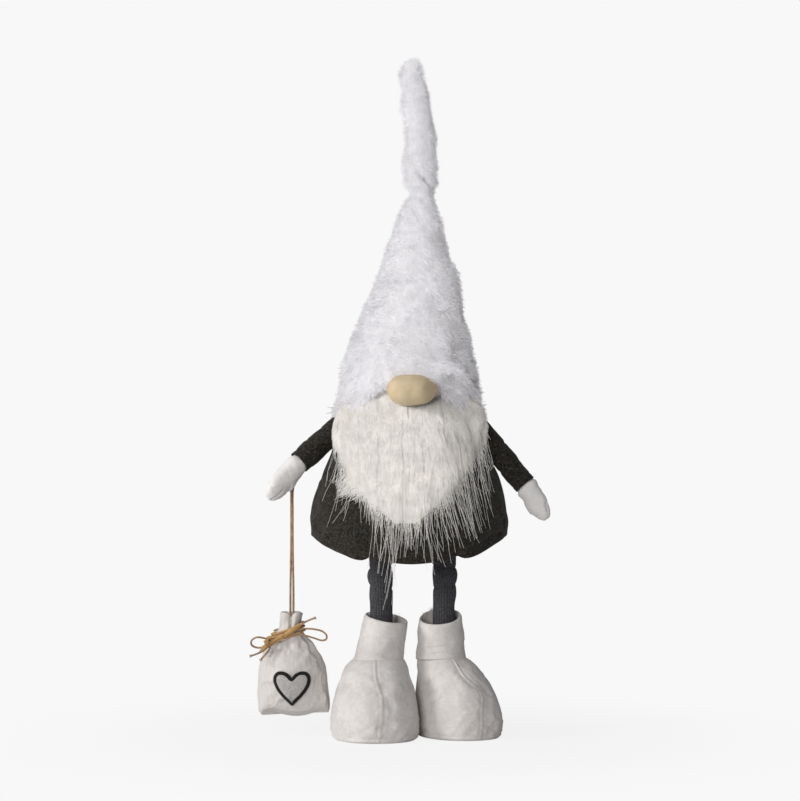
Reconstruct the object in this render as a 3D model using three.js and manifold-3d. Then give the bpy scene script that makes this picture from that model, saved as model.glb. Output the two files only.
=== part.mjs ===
// Tomte figure with telescopic legs, posable arms and hat tip, and a small bag hung from its right hand.
// Millimetres, +Z up, the figure looks along -Y, its own right hand is at -X.
import * as THREE from 'three';
import { mergeVertices } from 'three/addons/utils/BufferGeometryUtils.js';
import Module from 'manifold-3d';

const wasm = await Module();
wasm.setup();

// Clearances, and how far a cutting tool reaches past what it cuts
const gap = 0.3;
const runGap = 0.6;
const cutRoom = 5;
const rowSpacing = 1;

// Coat: outline as [half width, height], depth as a share of the width
const coatOutline = [
  [85.4, 157], [86.7, 180], [84, 206], [79, 225], [68.5, 247],
  [61, 269], [51, 286], [38, 301], [20, 309],
];
const coatTop = 311.5;
const coatDepth = 0.82;
const coatWall = 3;
const hemLift = 20;
const hemLiftHeight = 40;

// Base of the body, over the sides of the raised hem
const baseRise = 3.5;
const baseFelt = 3;
const boardThickness = 4;

// Hat: outline as [half width, height]
const hatOutline = [
  [62, 284.5], [64, 290], [62.5, 302], [53, 339], [42, 383], [26.6, 427], [19.2, 454], [14.2, 468],
];
const hatTop = 472.6;
const hatTopRadius = 12.4;
const hatDepth = 0.9;
const hatWall = 8;
const hatHollowTop = 455;
const hatFillRise = 6;
const hatLean = 12;
const hatShift = -1;
const brimLift = 29;
const brimLiftHeight = 70;

// Wire of the hat, in two lengths that meet at the fold
const hatWireRadius = 1.25;
const hatWireRise = 18;
const hatWireInset = 3;
const tipWireBottom = -4;
const tipWireTop = 80;

// Hat tip, about its pivot: outline as [half width, height over the pivot]
const tipPivotX = 11;
const tipBall = 12.9;
const tipOutline = [[15.9, 15], [15.2, 29], [13.4, 47], [13.1, 65], [11.8, 82], [8.4, 100]];
const tipHeight = 110;
const tipLean = -9;

// Nose
const noseX = 3;
const noseZ = 304;
const noseHalf = [21.5, 13, 13.5];

// Beard: rows of [height, half width, thickness]
const beardRows = [
  [310, 40, 13], [296, 55, 13], [282, 62, 12], [262, 62.5, 11], [243, 53, 11],
  [224, 40, 10], [204, 33, 9], [186, 29, 7], [168, 17, 5], [157, 6, 3],
];
const beardCentre = 1.5;
const beardTuck = 7.5;
const beardBack = 5;

// Arms: shoulder, wrist and mitten tip
const armRadius = 11;
const wristRadius = 10;
const sleeveWall = 2;
const armWireRadius = 1.25;
const armClearLength = 40;
const armSwing = 40;
const rightShoulder = [-60, 0, 272];
const rightWrist = [-95.9, -18, 240.9];
const rightMittenTip = [-124, -24, 209.4];
const rightPalm = 12.6;
const leftShoulder = [60, 0, 270.5];
const leftWrist = [101.9, -8, 221.3];
const leftMittenTip = [121.5, -11, 190.6];
const leftPalm = 9.8;
const arms = [
  { side: 'right', shoulder: rightShoulder, wrist: rightWrist, tip: rightMittenTip, palm: rightPalm },
  { side: 'left', shoulder: leftShoulder, wrist: leftWrist, tip: leftMittenTip, palm: leftPalm },
];

// Mittens
const mittenDepth = 6.2;
const mittenSwell = 1;
const cuffOverlap = 7;
const handWireLength = 12;
const thumbLength = 17;
const thumbRows = [[-0.1, 3], [0.15, 5.2], [0.55, 5.6], [0.85, 4], [1, 1.6]];

// Legs
const legWall = 1;
const innerTubeRadius = 6.7;
const innerTubeDrop = 4;
const outerTubeBottom = 116;
const tubeBelowWire = 8;
const flangeRadius = 14;
const flangeThickness = 2;
const knitWall = 1.9;
const knitBottom = 75;
const knitBump = 1.9;
const knitBumpWidth = 4.5;
const knitBumpDrops = [20.5, 32.5];
const leftLegAt = [30.8, 6];
const leftHeading = 30;
const rightLegAt = [-24.6, -6];
const rightHeading = 9;
const legs = [
  { side: 'left', x: leftLegAt[0], y: leftLegAt[1], heading: leftHeading },
  { side: 'right', x: rightLegAt[0], y: rightLegAt[1], heading: rightHeading },
];

// Boots: stations of the felt upper as [height, half width, half length, toe shift, outward shift]
const soleThickness = 2.5;
const bootStations = [
  [0, 37, 42, 12, 5.4], [7, 38, 43, 12, 5.4], [19, 37.6, 42.4, 11.6, 5.4], [33, 35.6, 40, 10, 5],
  [49, 31.8, 34.5, 7, 4], [58, 28.6, 30, 4.5, 3], [66, 24.4, 25, 1.5, 1.4],
];
const bootTop = 71;
const bootTopHalf = 20.4;
const bootWall = 2.5;
const bootMouthDepth = 38;
const knitRoom = 1.2;
const leftCuffShifts = [-3.1, -3.5];
const leftRimTilt = [4, 4];
const rightCuffShifts = [-1.8, 4.6];
const rightRimTilt = [-2.5, 3];
const bootFits = {
  left: { widthShare: 0.93, outwardShare: 2, cuffShifts: leftCuffShifts, rimTilt: leftRimTilt },
  right: { widthShare: 1, outwardShare: -1, cuffShifts: rightCuffShifts, rimTilt: rightRimTilt },
};
const bootCuffHeight = 33;
const bootCuffRadii = [20.6, 19];
const bootCuffWall = 3;
const socketWall = 2.2;
const socketFlange = 16;
const socketHeight = 58;
const weightHeight = 14;

// Bag: stations as [height, half width, half depth, sideways shift]
const bagX = -102.6;
const bagBehindMitten = 2.3;
const bagStations = [
  [21, 28.6, 1.3, 2.8], [24, 30, 7, 2.2], [32, 30.4, 13, 1.6], [48, 30, 16.5, 0.8], [62, 28.2, 17, 0.2],
  [75, 25, 15.6, -1], [84, 20, 13.4, -1.6], [90, 13, 10.6, -1.6], [95, 10.4, 9, -1.4], [101, 10, 9, -1],
  [109, 10.6, 9.4, -0.4],
];
const bagNeckHeight = 80;
const bagWall = 1.5;
const bagSeamRoom = 0.4;
const bagFloorRise = 3;
const bagMouthRadius = 3.4;

// Twine
const twineRadius = 1.1;
const twineSpread = 2.6;
const twineEndDepth = 11;
const loopPivotZ = 213;
const loopHeight = 14;
const loopBend = 3;
const loopWidening = 2.2;
const strandGap = 0.5;
const wrapTurns = 3;
const wrapPitch = 3.1;
const wrapHeight = 88.5;
const wrapTilt = 9;

// Bow: knot, then the points that each loop and tail follows
const knotAt = [-20.5, -14.5, 82.5];
const knotHalf = [6.6, 3.2, 3.4];
const knotTurn = -40;
const bowLoopLeft = [
  [-17.5, -14.6, 84.6], [-20.5, -16.2, 87], [-25, -17.6, 88.6], [-30, -18, 89], [-34.4, -17.4, 86.2],
  [-34.6, -16.6, 82.6], [-31.6, -16.4, 80.4], [-27, -16, 79.8], [-22.5, -15, 80.8],
];
const bowLoopRight = [
  [6, -9.9, 94.8], [9.4, -13, 95.9], [14, -15.5, 96.4], [20.6, -17, 95.9], [27.2, -18.2, 94.2],
  [30.8, -18.8, 90.8], [30.6, -19, 87.6], [27.2, -19, 86.4], [20, -18.4, 88.4], [12.6, -16.6, 90.4],
  [8.6, -13.2, 91.2], [6.4, -9.9, 91.6],
];
const bowTailUpper = [
  [6, -9.9, 98], [8.6, -12.6, 99.8], [12, -14.6, 102], [17, -15.6, 104.4], [21.6, -16, 106],
];
const bowTailLeft = [
  [-21.5, -16.4, 79.6], [-24.6, -18.8, 77.2], [-28, -19.8, 75.6], [-32, -20, 74], [-36, -19.6, 72.8],
];
const bowTailLower = [
  [-18.4, -16, 80.6], [-19.6, -18.8, 77.6], [-22, -20.2, 74.6], [-24.6, -20.6, 71.8], [-27, -20.4, 69],
];

// Heart
const heartX = 0.9;
const heartZ = 46;
const heartWidth = 33;
const heartHeight = 31;
const heartBorder = 2.8;
const feltLayer = 1.4;

// Sides and steps of the larger skins
const coatSides = 22;
const coatSteps = 7;
const hatSides = 22;
const hatSteps = 7;
const tubeSides = 14;
const turnSteps = 24;

// Colours
function finish(color, roughness, metalness = 0) {
  return new THREE.MeshStandardMaterial({ color, roughness, metalness });
}
const coatFelt = finish(0x47474a, 0.95);
const whiteFur = finish(0xefedea, 1);
const jersey = finish(0xd2bd94, 0.9);
const whiteFelt = finish(0xe9e7e4, 0.95);
const bootFelt = finish(0xd6d1cc, 0.95);
const darkKnit = finish(0x39373a, 0.95);
const linen = finish(0xd9d6d3, 0.9);
const jute = finish(0xb99a6b, 0.95);
const blackFelt = finish(0x1f1d1e, 0.95);
const greyFelt = finish(0xb4b2b1, 0.95);
const stuffing = finish(0xf2f2f0, 1);
const board = finish(0x9c8a6c, 0.85);
const plastic = finish(0x8f9296, 0.5);
const sand = finish(0xb8a888, 0.95);
const steel = finish(0x9aa0a6, 0.35, 1);

// Small helpers on vectors and outlines
const vector = (point) => new THREE.Vector3(...point);
const outlinePoints = (outline) => outline.map(([r, z]) => new THREE.Vector2(r, z));

// A smooth outline through a few points, moved inwards by an inset
function smooth(outline, steps, inset = 0) {
  const curve = new THREE.SplineCurve(outlinePoints(outline));
  const points = [];
  for (let i = 0; i <= steps; i++) {
    const at = curve.getPoint(i / steps);
    const along = curve.getTangent(i / steps);
    points.push(new THREE.Vector2(Math.max(at.x - along.y * inset, 0), at.y + along.x * inset));
  }
  return points;
}

// Vertices merged, empty triangles dropped, faces turned outwards
function closedSurface(geometry) {
  const bare = new THREE.BufferGeometry();
  bare.setAttribute('position', geometry.getAttribute('position').clone());
  if (geometry.index) bare.setIndex(geometry.index.clone());
  const merged = mergeVertices(bare, 1e-4);
  const all = merged.index.array;
  const kept = [];
  for (let i = 0; i < all.length; i += 3) {
    const [a, b, c] = [all[i], all[i + 1], all[i + 2]];
    if (a !== b && b !== c && c !== a) kept.push(a, b, c);
  }
  const at = (i) => new THREE.Vector3().fromBufferAttribute(merged.getAttribute('position'), i);
  let volume = 0;
  for (let i = 0; i < kept.length; i += 3) volume += at(kept[i]).dot(at(kept[i + 1]).cross(at(kept[i + 2])));
  if (volume < 0) kept.reverse();
  merged.setIndex(kept);
  return merged;
}

function toSolid(geometry) {
  const surface = closedSurface(geometry);
  return new wasm.Manifold(new wasm.Mesh({
    numProp: 3,
    vertProperties: new Float32Array(surface.getAttribute('position').array),
    triVerts: new Uint32Array(surface.index.array),
  }));
}

function toGeometry(solid) {
  const mesh = solid.getMesh();
  const geometry = new THREE.BufferGeometry();
  geometry.setAttribute('position', new THREE.BufferAttribute(new Float32Array(mesh.vertProperties), 3));
  geometry.setIndex(new THREE.BufferAttribute(new Uint32Array(mesh.triVerts), 1));
  return geometry;
}

function cut(geometry, ...tools) {
  return toGeometry(tools.reduce((solid, tool) => solid.subtract(toSolid(tool)), toSolid(geometry)));
}

function join(geometry, ...more) {
  return toGeometry(more.reduce((solid, part) => solid.add(toSolid(part)), toSolid(geometry)));
}

function common(geometry, other) {
  return toGeometry(toSolid(geometry).intersect(toSolid(other)));
}

// A turned body around Z; its points are radius and height, from axis to axis or back to the first point
function turned(points, sides) {
  return new THREE.LatheGeometry(points, sides).rotateX(Math.PI / 2);
}

function disc(radius, bottom, top, sides = tubeSides) {
  return turned(outlinePoints([[0, bottom], [radius, bottom], [radius, top], [0, top]]), sides);
}

function ring(inner, outer, bottom, top, sides = tubeSides) {
  const corners = [[inner, bottom], [outer, bottom], [outer, top], [inner, top], [inner, bottom]];
  return turned(outlinePoints(corners), sides);
}

// A quarter circle from the lowest point of a ball to its widest
function ballArc(radius, steps = 4) {
  return Array.from({ length: steps + 1 }, (_, i) => {
    const angle = (Math.PI / 2) * (i / steps);
    return new THREE.Vector2(i ? radius * Math.sin(angle) : 0, -radius * Math.cos(angle));
  });
}

// Every vertex moved by a rule
function warp(geometry, rule) {
  const at = geometry.getAttribute('position');
  for (let i = 0; i < at.count; i++) {
    const moved = rule(at.getX(i), at.getY(i), at.getZ(i));
    at.setXYZ(i, ...moved);
  }
  return geometry;
}

// A closed skin over rings of the same number of points
function loft(rings) {
  const count = rings[0].length;
  const sum = (points) => points.reduce((total, p) => total.add(p), new THREE.Vector3());
  const middle = (points) => sum(points).divideScalar(points.length);
  const all = [...rings.flat(), middle(rings[0]), middle(rings[rings.length - 1])];
  const faces = [];
  for (let r = 0; r + 1 < rings.length; r++) {
    for (let i = 0; i < count; i++) {
      const [a, b] = [r * count + i, r * count + (i + 1) % count];
      faces.push(a, b, b + count, a, b + count, a + count);
    }
  }
  const last = (rings.length - 1) * count;
  for (let i = 0; i < count; i++) {
    faces.push(all.length - 2, (i + 1) % count, i);
    faces.push(all.length - 1, last + i, last + (i + 1) % count);
  }
  const geometry = new THREE.BufferGeometry().setFromPoints(all);
  geometry.setIndex(faces);
  return geometry;
}

// A level rounded ring; squareness 2 is an ellipse
function levelRing(z, halfWidth, halfDepth, x, y, count, squareness = 2) {
  const bend = (v) => Math.sign(v) * Math.abs(v) ** (2 / squareness);
  return Array.from({ length: count }, (_, i) => {
    const angle = (2 * Math.PI * i) / count;
    return new THREE.Vector3(x + halfWidth * bend(Math.cos(angle)), y + halfDepth * bend(Math.sin(angle)), z);
  });
}

// A round tube along a curve, with flat ends
function tubeAlong(curve, radius, sides, steps) {
  const section = new THREE.Shape(Array.from({ length: sides }, (_, i) => {
    const angle = (2 * Math.PI * i) / sides;
    return new THREE.Vector2(radius * Math.cos(angle), radius * Math.sin(angle));
  }));
  return new THREE.ExtrudeGeometry(section, { extrudePath: curve, steps, bevelEnabled: false });
}

function cord(points, steps, grow = 0) {
  const curve = new THREE.CatmullRomCurve3(points.map(vector), false, 'centripetal');
  return tubeAlong(curve, twineRadius + grow, 8, steps);
}

function rod(from, to, radius, sides = 8) {
  return tubeAlong(new THREE.LineCurve3(vector(from), vector(to)), radius, sides, 1);
}

// The figure and its groups
const figure = new THREE.Group();

function place(name, geometry, material, parent = figure) {
  const clean = closedSurface(geometry);
  clean.computeVertexNormals();
  const mesh = new THREE.Mesh(clean, material);
  mesh.name = name;
  parent.add(mesh);
  return mesh;
}

// Coat shape: an oval bell whose hem rises towards the side seams
const [hemHalf, hemZ] = coatOutline[0];

function coatWarp(x, y, z) {
  const nearHem = Math.max(0, 1 - (z - hemZ) / hemLiftHeight);
  return [x, y * coatDepth, z + hemLift * (Math.abs(x) / hemHalf) ** 3 * nearHem];
}

// The space under the coat's outside, moved inwards by an inset, from a given height up
function coatSpace(inset, bottom) {
  const side = smooth(coatOutline, coatSteps, inset);
  const first = side.findIndex((p) => p.y > bottom + rowSpacing);
  const before = side[Math.max(first - 1, 0)];
  const share = first > 0 ? (bottom - before.y) / (side[first].y - before.y) : 0;
  const edge = first > 0 ? before.x + share * (side[first].x - before.x) : side[0].x;
  const points = [new THREE.Vector2(0, bottom), new THREE.Vector2(edge, bottom), ...side.slice(first)];
  points.push(new THREE.Vector2(0, coatTop - inset));
  return warp(turned(points, coatSides), coatWarp);
}

function coatShell() {
  const outside = smooth(coatOutline, coatSteps);
  const inside = smooth(coatOutline, coatSteps, coatWall).reverse();
  inside[inside.length - 1].y = outside[0].y;
  const points = [new THREE.Vector2(0, coatTop), ...outside.reverse(), ...inside.reverse()];
  points.push(new THREE.Vector2(0, coatTop - coatWall));
  return warp(turned(points, coatSides), coatWarp);
}

// Hat shape: a leaning cone whose brim is lifted over the nose
const hatBottom = hatOutline[0][1];

function hatWarp(x, y, z) {
  const height = Math.max(0, (z - hatBottom) / (hatTop - hatBottom));
  const nearBrim = Math.max(0, 1 - (z - hatBottom) / brimLiftHeight);
  const front = Math.max(0, -y / Math.hypot(x, y, 1e-6));
  return [x + hatShift + hatLean * height ** 1.3, y * hatDepth, z + brimLift * front ** 4 * nearBrim];
}

function hatSpace(inset) {
  const side = smooth(hatOutline, hatSteps, inset);
  const top = hatTop - inset;
  const lid = outlinePoints([[hatTopRadius, top], [0, top]]);
  const points = [new THREE.Vector2(0, side[0].y), ...side, ...lid];
  return warp(turned(points, hatSides), hatWarp);
}

function hatHollow(inset, bottom) {
  const within = (p) => p.y < hatHollowTop - hatWall && p.y > bottom;
  const side = smooth(hatOutline, hatSteps, inset).filter(within);
  const points = [new THREE.Vector2(0, bottom), new THREE.Vector2(side[0].x, bottom), ...side];
  points.push(new THREE.Vector2(0, hatHollowTop - inset + hatWall));
  return warp(turned(points, hatSides), hatWarp);
}

// The shape that an arm sweeps from its rest to its highest place
const armVector = (arm) => vector(arm.wrist).sub(vector(arm.shoulder));

function armSweep(arm, radius) {
  const shoulder = vector(arm.shoulder);
  const turn = arm.side === 'right' ? 1 : -1;
  const steps = 2;
  const sides = 12;
  const room = radius / Math.cos(Math.PI / sides);
  const shapes = [new THREE.SphereGeometry(room, 12, 8).translate(...shoulder)];
  for (let i = 0; i <= steps; i++) {
    const angle = THREE.MathUtils.degToRad((turn * armSwing * i) / steps);
    const along = armVector(arm).normalize().applyAxisAngle(new THREE.Vector3(0, 1, 0), angle);
    const end = shoulder.clone().addScaledVector(along, armClearLength);
    shapes.push(rod(arm.shoulder, end.toArray(), room, sides));
  }
  return join(...shapes);
}

const sweeps = arms.map((arm) => armSweep(arm, armRadius + gap));

// Nose: a rounded pad that rests on the front of the hat's outline
const noseY = -hatDepth * hatOutline[2][0];
const nosePlace = (half) => new THREE.SphereGeometry(1, 16, 9).scale(...half).translate(noseX, noseY, noseZ);
const noseSpace = nosePlace(noseHalf.map((h) => h + gap));
place('nose', nosePlace(noseHalf), jersey);

// Body: coat, felt base and board, with a hole for each leg
const innerBore = innerTubeRadius + runGap;
const outerTubeRadius = innerBore + legWall;
const baseHeight = hemZ + hemLift + baseRise;
const boardBottom = baseHeight + baseFelt + gap;
const boardTop = boardBottom + boardThickness;
const flangeBottom = boardTop + gap;
const flangeTop = flangeBottom + flangeThickness;
const shoulderHeight = (arms[0].shoulder[2] + arms[1].shoulder[2]) / 2;
const outerTubeTop = shoulderHeight - armWireRadius - tubeBelowWire;
const innerTubeTop = outerTubeTop - innerTubeDrop;
const legBore = (leg, radius, bottom, top) => disc(radius, bottom, top).translate(leg.x, leg.y, 0);

place('coat', cut(coatShell(), ...sweeps), coatFelt);
const coatInside = coatSpace(coatWall + gap, hemZ);

function baseBlank(bottom, top) {
  const slab = new THREE.BoxGeometry(4 * hemHalf, 4 * hemHalf, top - bottom);
  return common(coatInside, slab.translate(0, 0, (bottom + top) / 2));
}
const tubeHoles = legs.map((leg) => legBore(leg, outerTubeRadius + gap, hemZ, coatTop));
place('coat_base', cut(baseBlank(baseHeight, baseHeight + baseFelt), ...tubeHoles), coatFelt);
place('base_board', cut(baseBlank(boardBottom, boardTop), ...tubeHoles), board);

// Shoulder wire between the arm balls, and the stuffing round all that runs through the body
function wireBar(grow) {
  const reach = armRadius + 2 * gap - 2 * grow;
  const from = [arms[0].shoulder[0] + reach, 0, shoulderHeight];
  const to = [arms[1].shoulder[0] - reach, 0, shoulderHeight];
  return rod(from, to, armWireRadius + grow);
}
place('shoulder_wire', wireBar(0), steel);
const fillingHoles = legs.flatMap((leg) => [
  legBore(leg, outerTubeRadius + gap, hemZ, outerTubeTop + gap),
  legBore(leg, flangeRadius + gap, hemZ, flangeTop + gap)]);
const fillingBlank = baseBlank(flangeBottom, coatTop);
place('torso_filling', cut(fillingBlank, ...fillingHoles, ...sweeps, wireBar(gap)), stuffing);

// Fixed tube of each leg, held on the board by its flange, and the knit that hangs round it
const knitInner = outerTubeRadius + gap;
const knitOuter = knitInner + knitWall;
const knitTop = baseHeight - gap;

for (const leg of legs) {
  const tube = outlinePoints([
    [innerBore, outerTubeBottom], [outerTubeRadius, outerTubeBottom], [outerTubeRadius, flangeBottom],
    [flangeRadius, flangeBottom], [flangeRadius, flangeTop], [outerTubeRadius, flangeTop],
    [outerTubeRadius, outerTubeTop], [innerBore, outerTubeTop], [innerBore, outerTubeBottom]]);
  place(`${leg.side}_leg_outer_tube`, turned(tube, tubeSides).translate(leg.x, leg.y, 0), plastic);
  const outside = [];
  const steps = 12;
  for (let i = 0; i <= steps; i++) {
    const z = knitBottom + ((knitTop - knitBottom) * i) / steps;
    const bunch = (drop) => Math.exp(-(((z - baseHeight + drop) / knitBumpWidth) ** 2));
    const bump = knitBumpDrops.reduce((sum, drop) => sum + bunch(drop), 0);
    outside.push([knitOuter + knitBump * bump, z]);
  }
  const inside = [[knitInner, knitTop], [knitInner, knitBottom]];
  const knit = outlinePoints([[knitInner, knitBottom], ...outside, ...inside]);
  place(`${leg.side}_leg_knit`, turned(knit, 12).translate(leg.x, leg.y, 0), darkKnit);
}

// Hat with its stuffing and wire
function hatWire(grow) {
  const bottom = coatTop + hatWireRise - grow;
  const top = hatTop - hatWireInset;
  const heights = [0, 0.29, 0.57, 0.79].map((share) => bottom + share * (top - bottom));
  const points = [...heights, top + 8 * grow].map((z) => new THREE.Vector3(hatWarp(0, 0, z)[0], 0, z));
  return tubeAlong(new THREE.CatmullRomCurve3(points), hatWireRadius + grow, 8, 6);
}
const hatMouth = hatHollow(hatWall, hatBottom - 4 * cutRoom);
place('hat', cut(hatSpace(0), hatMouth, noseSpace, hatWire(gap)), whiteFur);
place('hat_wire', hatWire(0), steel);
const hatFill = hatHollow(hatWall + gap, hatBottom + hatFillRise);
place('hat_filling', cut(hatFill, coatSpace(-gap, hemZ), noseSpace, hatWire(gap)), stuffing);

// Beard: a thick pad that lies round the front of the coat
function beardBlank() {
  const columns = 8;
  const side = smooth(coatOutline, 60);
  const nearest = (z) => side.reduce((best, p) => (Math.abs(p.y - z) < Math.abs(best.y - z) ? p : best));
  return loft(beardRows.map(([z, half, thickness]) => {
    const radius = Math.max(nearest(Math.min(z, hatBottom + beardTuck)).x, half * 1.02);
    const back = [];
    const front = [];
    for (let i = 0; i <= columns; i++) {
      const share = (2 * i) / columns - 1;
      const bulge = 0.35 + 0.65 * (1 - share ** 2);
      const x = half * share;
      const surface = -coatDepth * Math.sqrt(radius ** 2 - x ** 2);
      back.unshift(new THREE.Vector3(beardCentre + x * 0.97, surface + beardBack, z));
      front.push(new THREE.Vector3(beardCentre + x, surface - thickness * bulge, z));
    }
    return [...front, ...back];
  }));
}
const beardRoom = [coatSpace(-gap, hemZ - 6 * cutRoom), hatSpace(-gap), noseSpace, ...sweeps];
place('beard', cut(beardBlank(), ...beardRoom), whiteFur);

// Hat tip: turns about its ball on the hat's flat top
const tip = new THREE.Group();
const tipPivotZ = hatTop + gap + tipBall;
tip.position.set(tipPivotX, 0, tipPivotZ);
figure.add(tip);
const tipWarp = (x, y, z) => [x + tipLean * Math.max(0, z / tipHeight) ** 2, y, z];
const tipSide = smooth([[tipBall, 0], ...tipOutline], 7).slice(1);
const tipPoints = [...ballArc(tipBall), ...tipSide, new THREE.Vector2(0, tipHeight)];

function tipWire(grow) {
  const [bottom, top] = [tipWireBottom - grow, tipWireTop + grow];
  const heights = [0, 0.34, 0.64, 1].map((share) => bottom + share * (top - bottom));
  const points = heights.map((z) => new THREE.Vector3(tipWarp(0, 0, z)[0], 0, z));
  return tubeAlong(new THREE.CatmullRomCurve3(points), hatWireRadius + grow, 8, 5);
}
const tipMouth = rod([0, 0, -tipBall - cutRoom], [0, 0, 0], hatWireRadius + gap);
place('hat_tip', cut(warp(turned(tipPoints, tubeSides), tipWarp), tipWire(gap), tipMouth), whiteFur, tip);
place('hat_tip_wire', tipWire(0), steel, tip);

// Arms: each sleeve turns about its ball in the coat
for (const arm of arms) {
  const along = armVector(arm);
  const length = along.length();
  const group = new THREE.Group();
  group.position.set(...arm.shoulder);
  group.quaternion.setFromUnitVectors(new THREE.Vector3(0, 0, 1), along.clone().normalize());
  figure.add(group);
  const inner = armRadius - sleeveWall;
  const innerWrist = wristRadius - sleeveWall;
  const wristEdge = outlinePoints([[wristRadius, length], [innerWrist, length]]);
  const sleeve = [...ballArc(armRadius), ...wristEdge, ...ballArc(inner).reverse()];
  place(`${arm.side}_sleeve`, turned(sleeve, 12), coatFelt, group);
  const fillEnd = length - cuffOverlap - gap;
  const fill = [...ballArc(inner - gap), ...outlinePoints([[innerWrist - gap, fillEnd], [0, fillEnd]])];
  const wire = (grow) => rod([0, 0, -grow], [0, 0, length + handWireLength + grow], armWireRadius + grow);
  place(`${arm.side}_arm_filling`, cut(turned(fill, 10), wire(gap)), stuffing, group);
  place(`${arm.side}_arm_wire`, wire(0), steel, group);

  // Mitten: a wrist inside the sleeve, a palm that swells and tapers, and a thumb
  const tipAt = vector(arm.tip).sub(vector(arm.shoulder)).applyQuaternion(group.quaternion.clone().invert());
  const reach = tipAt.clone().sub(new THREE.Vector3(0, 0, length));
  const neck = innerWrist - 2 * gap;
  const hand = [
    [-0.16, neck, neck], [0.02, neck, neck], [0.06, neck + mittenSwell, neck * 0.9],
    [0.25, arm.palm * 0.9, mittenDepth + mittenSwell], [0.5, arm.palm, mittenDepth],
    [0.75, arm.palm * 0.86, mittenDepth * 0.85], [0.92, arm.palm * 0.55, mittenDepth * 0.6],
    [1, arm.palm * 0.2, mittenDepth * 0.3]];
  const rings = hand.map(([share, halfWidth, halfDepth]) => {
    const bend = Math.max(0, share);
    return levelRing(length + share * reach.z, halfWidth, halfDepth, bend * reach.x, bend * reach.y, 14);
  });
  const side = arm.side === 'right' ? -1 : 1;
  const thumbAt = new THREE.Vector3(side * arm.palm * 0.55, 0, length + reach.z * 0.24);
  const thumbWay = new THREE.Vector3(side * 0.62, 0, 0.78);
  const thumb = thumbRows.map(([share, half]) => {
    const at = thumbAt.clone().addScaledVector(thumbWay, share * thumbLength);
    return levelRing(at.z, half, half * 0.92, at.x, at.y, 8);
  });
  place(`${arm.side}_mitten`, cut(join(loft(rings), loft(thumb)), wire(gap)), whiteFelt, group);
}

// The space under a boot upper's outside, moved inwards by an inset, between two heights
function bootSpace(fit, inset, bottom, top) {
  const stations = bootStations.map(([z, w, l, toe, out]) => [z, w - inset, l - inset, toe, out]);
  stations.push([bootTop - inset, bootTopHalf - inset, bootTopHalf - inset, 0, 0]);
  const at = (z) => {
    const next = Math.max(1, stations.findIndex((s) => s[0] >= z - 1e-6));
    const [a, b] = [stations[next - 1], stations[next]];
    const share = (z - a[0]) / (b[0] - a[0]);
    return a.map((value, i) => value + share * (b[i] - value));
  };
  const between = stations.map((s) => s[0]).filter((z) => z > bottom + rowSpacing && z < top - rowSpacing);
  return loft([bottom, ...between, top].map((height) => {
    const [z, w, l, toe, out] = at(height);
    const x = fit.cuffShifts[0] + fit.outwardShare * out;
    return levelRing(z, w * fit.widthShare, l, x, -toe, 18, 2.1);
  }));
}

// Legs: a tube that slides in the fixed one, and a boot that turns on its foot
const bootSeat = soleThickness + gap;
const socketPlate = bootSeat + socketWall;
const socketBore = innerTubeRadius + gap;
const socketRadius = socketBore + socketWall;
const weightTop = bootSeat + weightHeight;
const cuffBase = bootTop + gap;
const cuffRim = cuffBase + bootCuffHeight;

for (const leg of legs) {
  const fit = bootFits[leg.side];
  const group = new THREE.Group();
  group.position.set(leg.x, leg.y, 0);
  group.rotation.z = THREE.MathUtils.degToRad(leg.heading);
  figure.add(group);
  const innerTube = ring(innerTubeRadius - legWall, innerTubeRadius, socketPlate + gap, innerTubeTop);
  place(`${leg.side}_leg_inner_tube`, innerTube, plastic, group);

  place(`${leg.side}_boot_sole`, bootSpace(fit, 0, 0, soleThickness), bootFelt, group);
  const hollow = bootSpace(fit, bootWall, bootSeat - gap, bootTop - bootWall);
  const mouth = disc(knitOuter + knitRoom, bootTop - bootMouthDepth, bootTop + cutRoom);
  place(`${leg.side}_boot_upper`, cut(bootSpace(fit, 0, bootSeat, bootTop), hollow, mouth), bootFelt, group);

  const socket = outlinePoints([
    [0, bootSeat], [socketFlange, bootSeat], [socketFlange, socketPlate], [socketRadius, socketPlate],
    [socketRadius, socketHeight], [socketBore, socketHeight], [socketBore, socketPlate], [0, socketPlate]]);
  place(`${leg.side}_foot_socket`, turned(socket, tubeSides), plastic, group);
  const inset = bootWall + gap;
  const socketRoom = [
    disc(socketFlange + gap, bootSeat - cutRoom, socketPlate + gap),
    disc(socketRadius + gap, bootSeat - cutRoom, bootTop + cutRoom)];
  const weight = bootSpace(fit, inset, bootSeat, weightTop);
  place(`${leg.side}_boot_weight`, cut(weight, ...socketRoom), sand, group);
  const fill = bootSpace(fit, inset, weightTop + gap, bootTop - inset);
  const throat = disc(knitOuter + knitRoom, socketHeight + gap, bootTop + cutRoom);
  place(`${leg.side}_boot_filling`, cut(fill, ...socketRoom, throat), stuffing, group);

  // Cuff: an open collar that leans with the leg, its rim tilted
  const [wide, narrow] = bootCuffRadii;
  const [half, level] = [(wide + narrow) / 2, (cuffBase + cuffRim) / 2];
  const profile = outlinePoints([
    [wide - bootCuffWall, cuffBase], [wide, cuffBase], [half, level], [narrow, cuffRim],
    [narrow - bootCuffWall, cuffRim], [half - bootCuffWall, level], [wide - bootCuffWall, cuffBase]]);
  const cuffWarp = (x, y, z) => {
    const share = (z - cuffBase) / bootCuffHeight;
    const [low, high] = fit.cuffShifts;
    return [x + low + share * (high - low), y, z + share * (fit.rimTilt[0] * x + fit.rimTilt[1] * y) / narrow];
  };
  place(`${leg.side}_boot_cuff`, warp(turned(profile, 18), cuffWarp), bootFelt, group);
}

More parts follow.
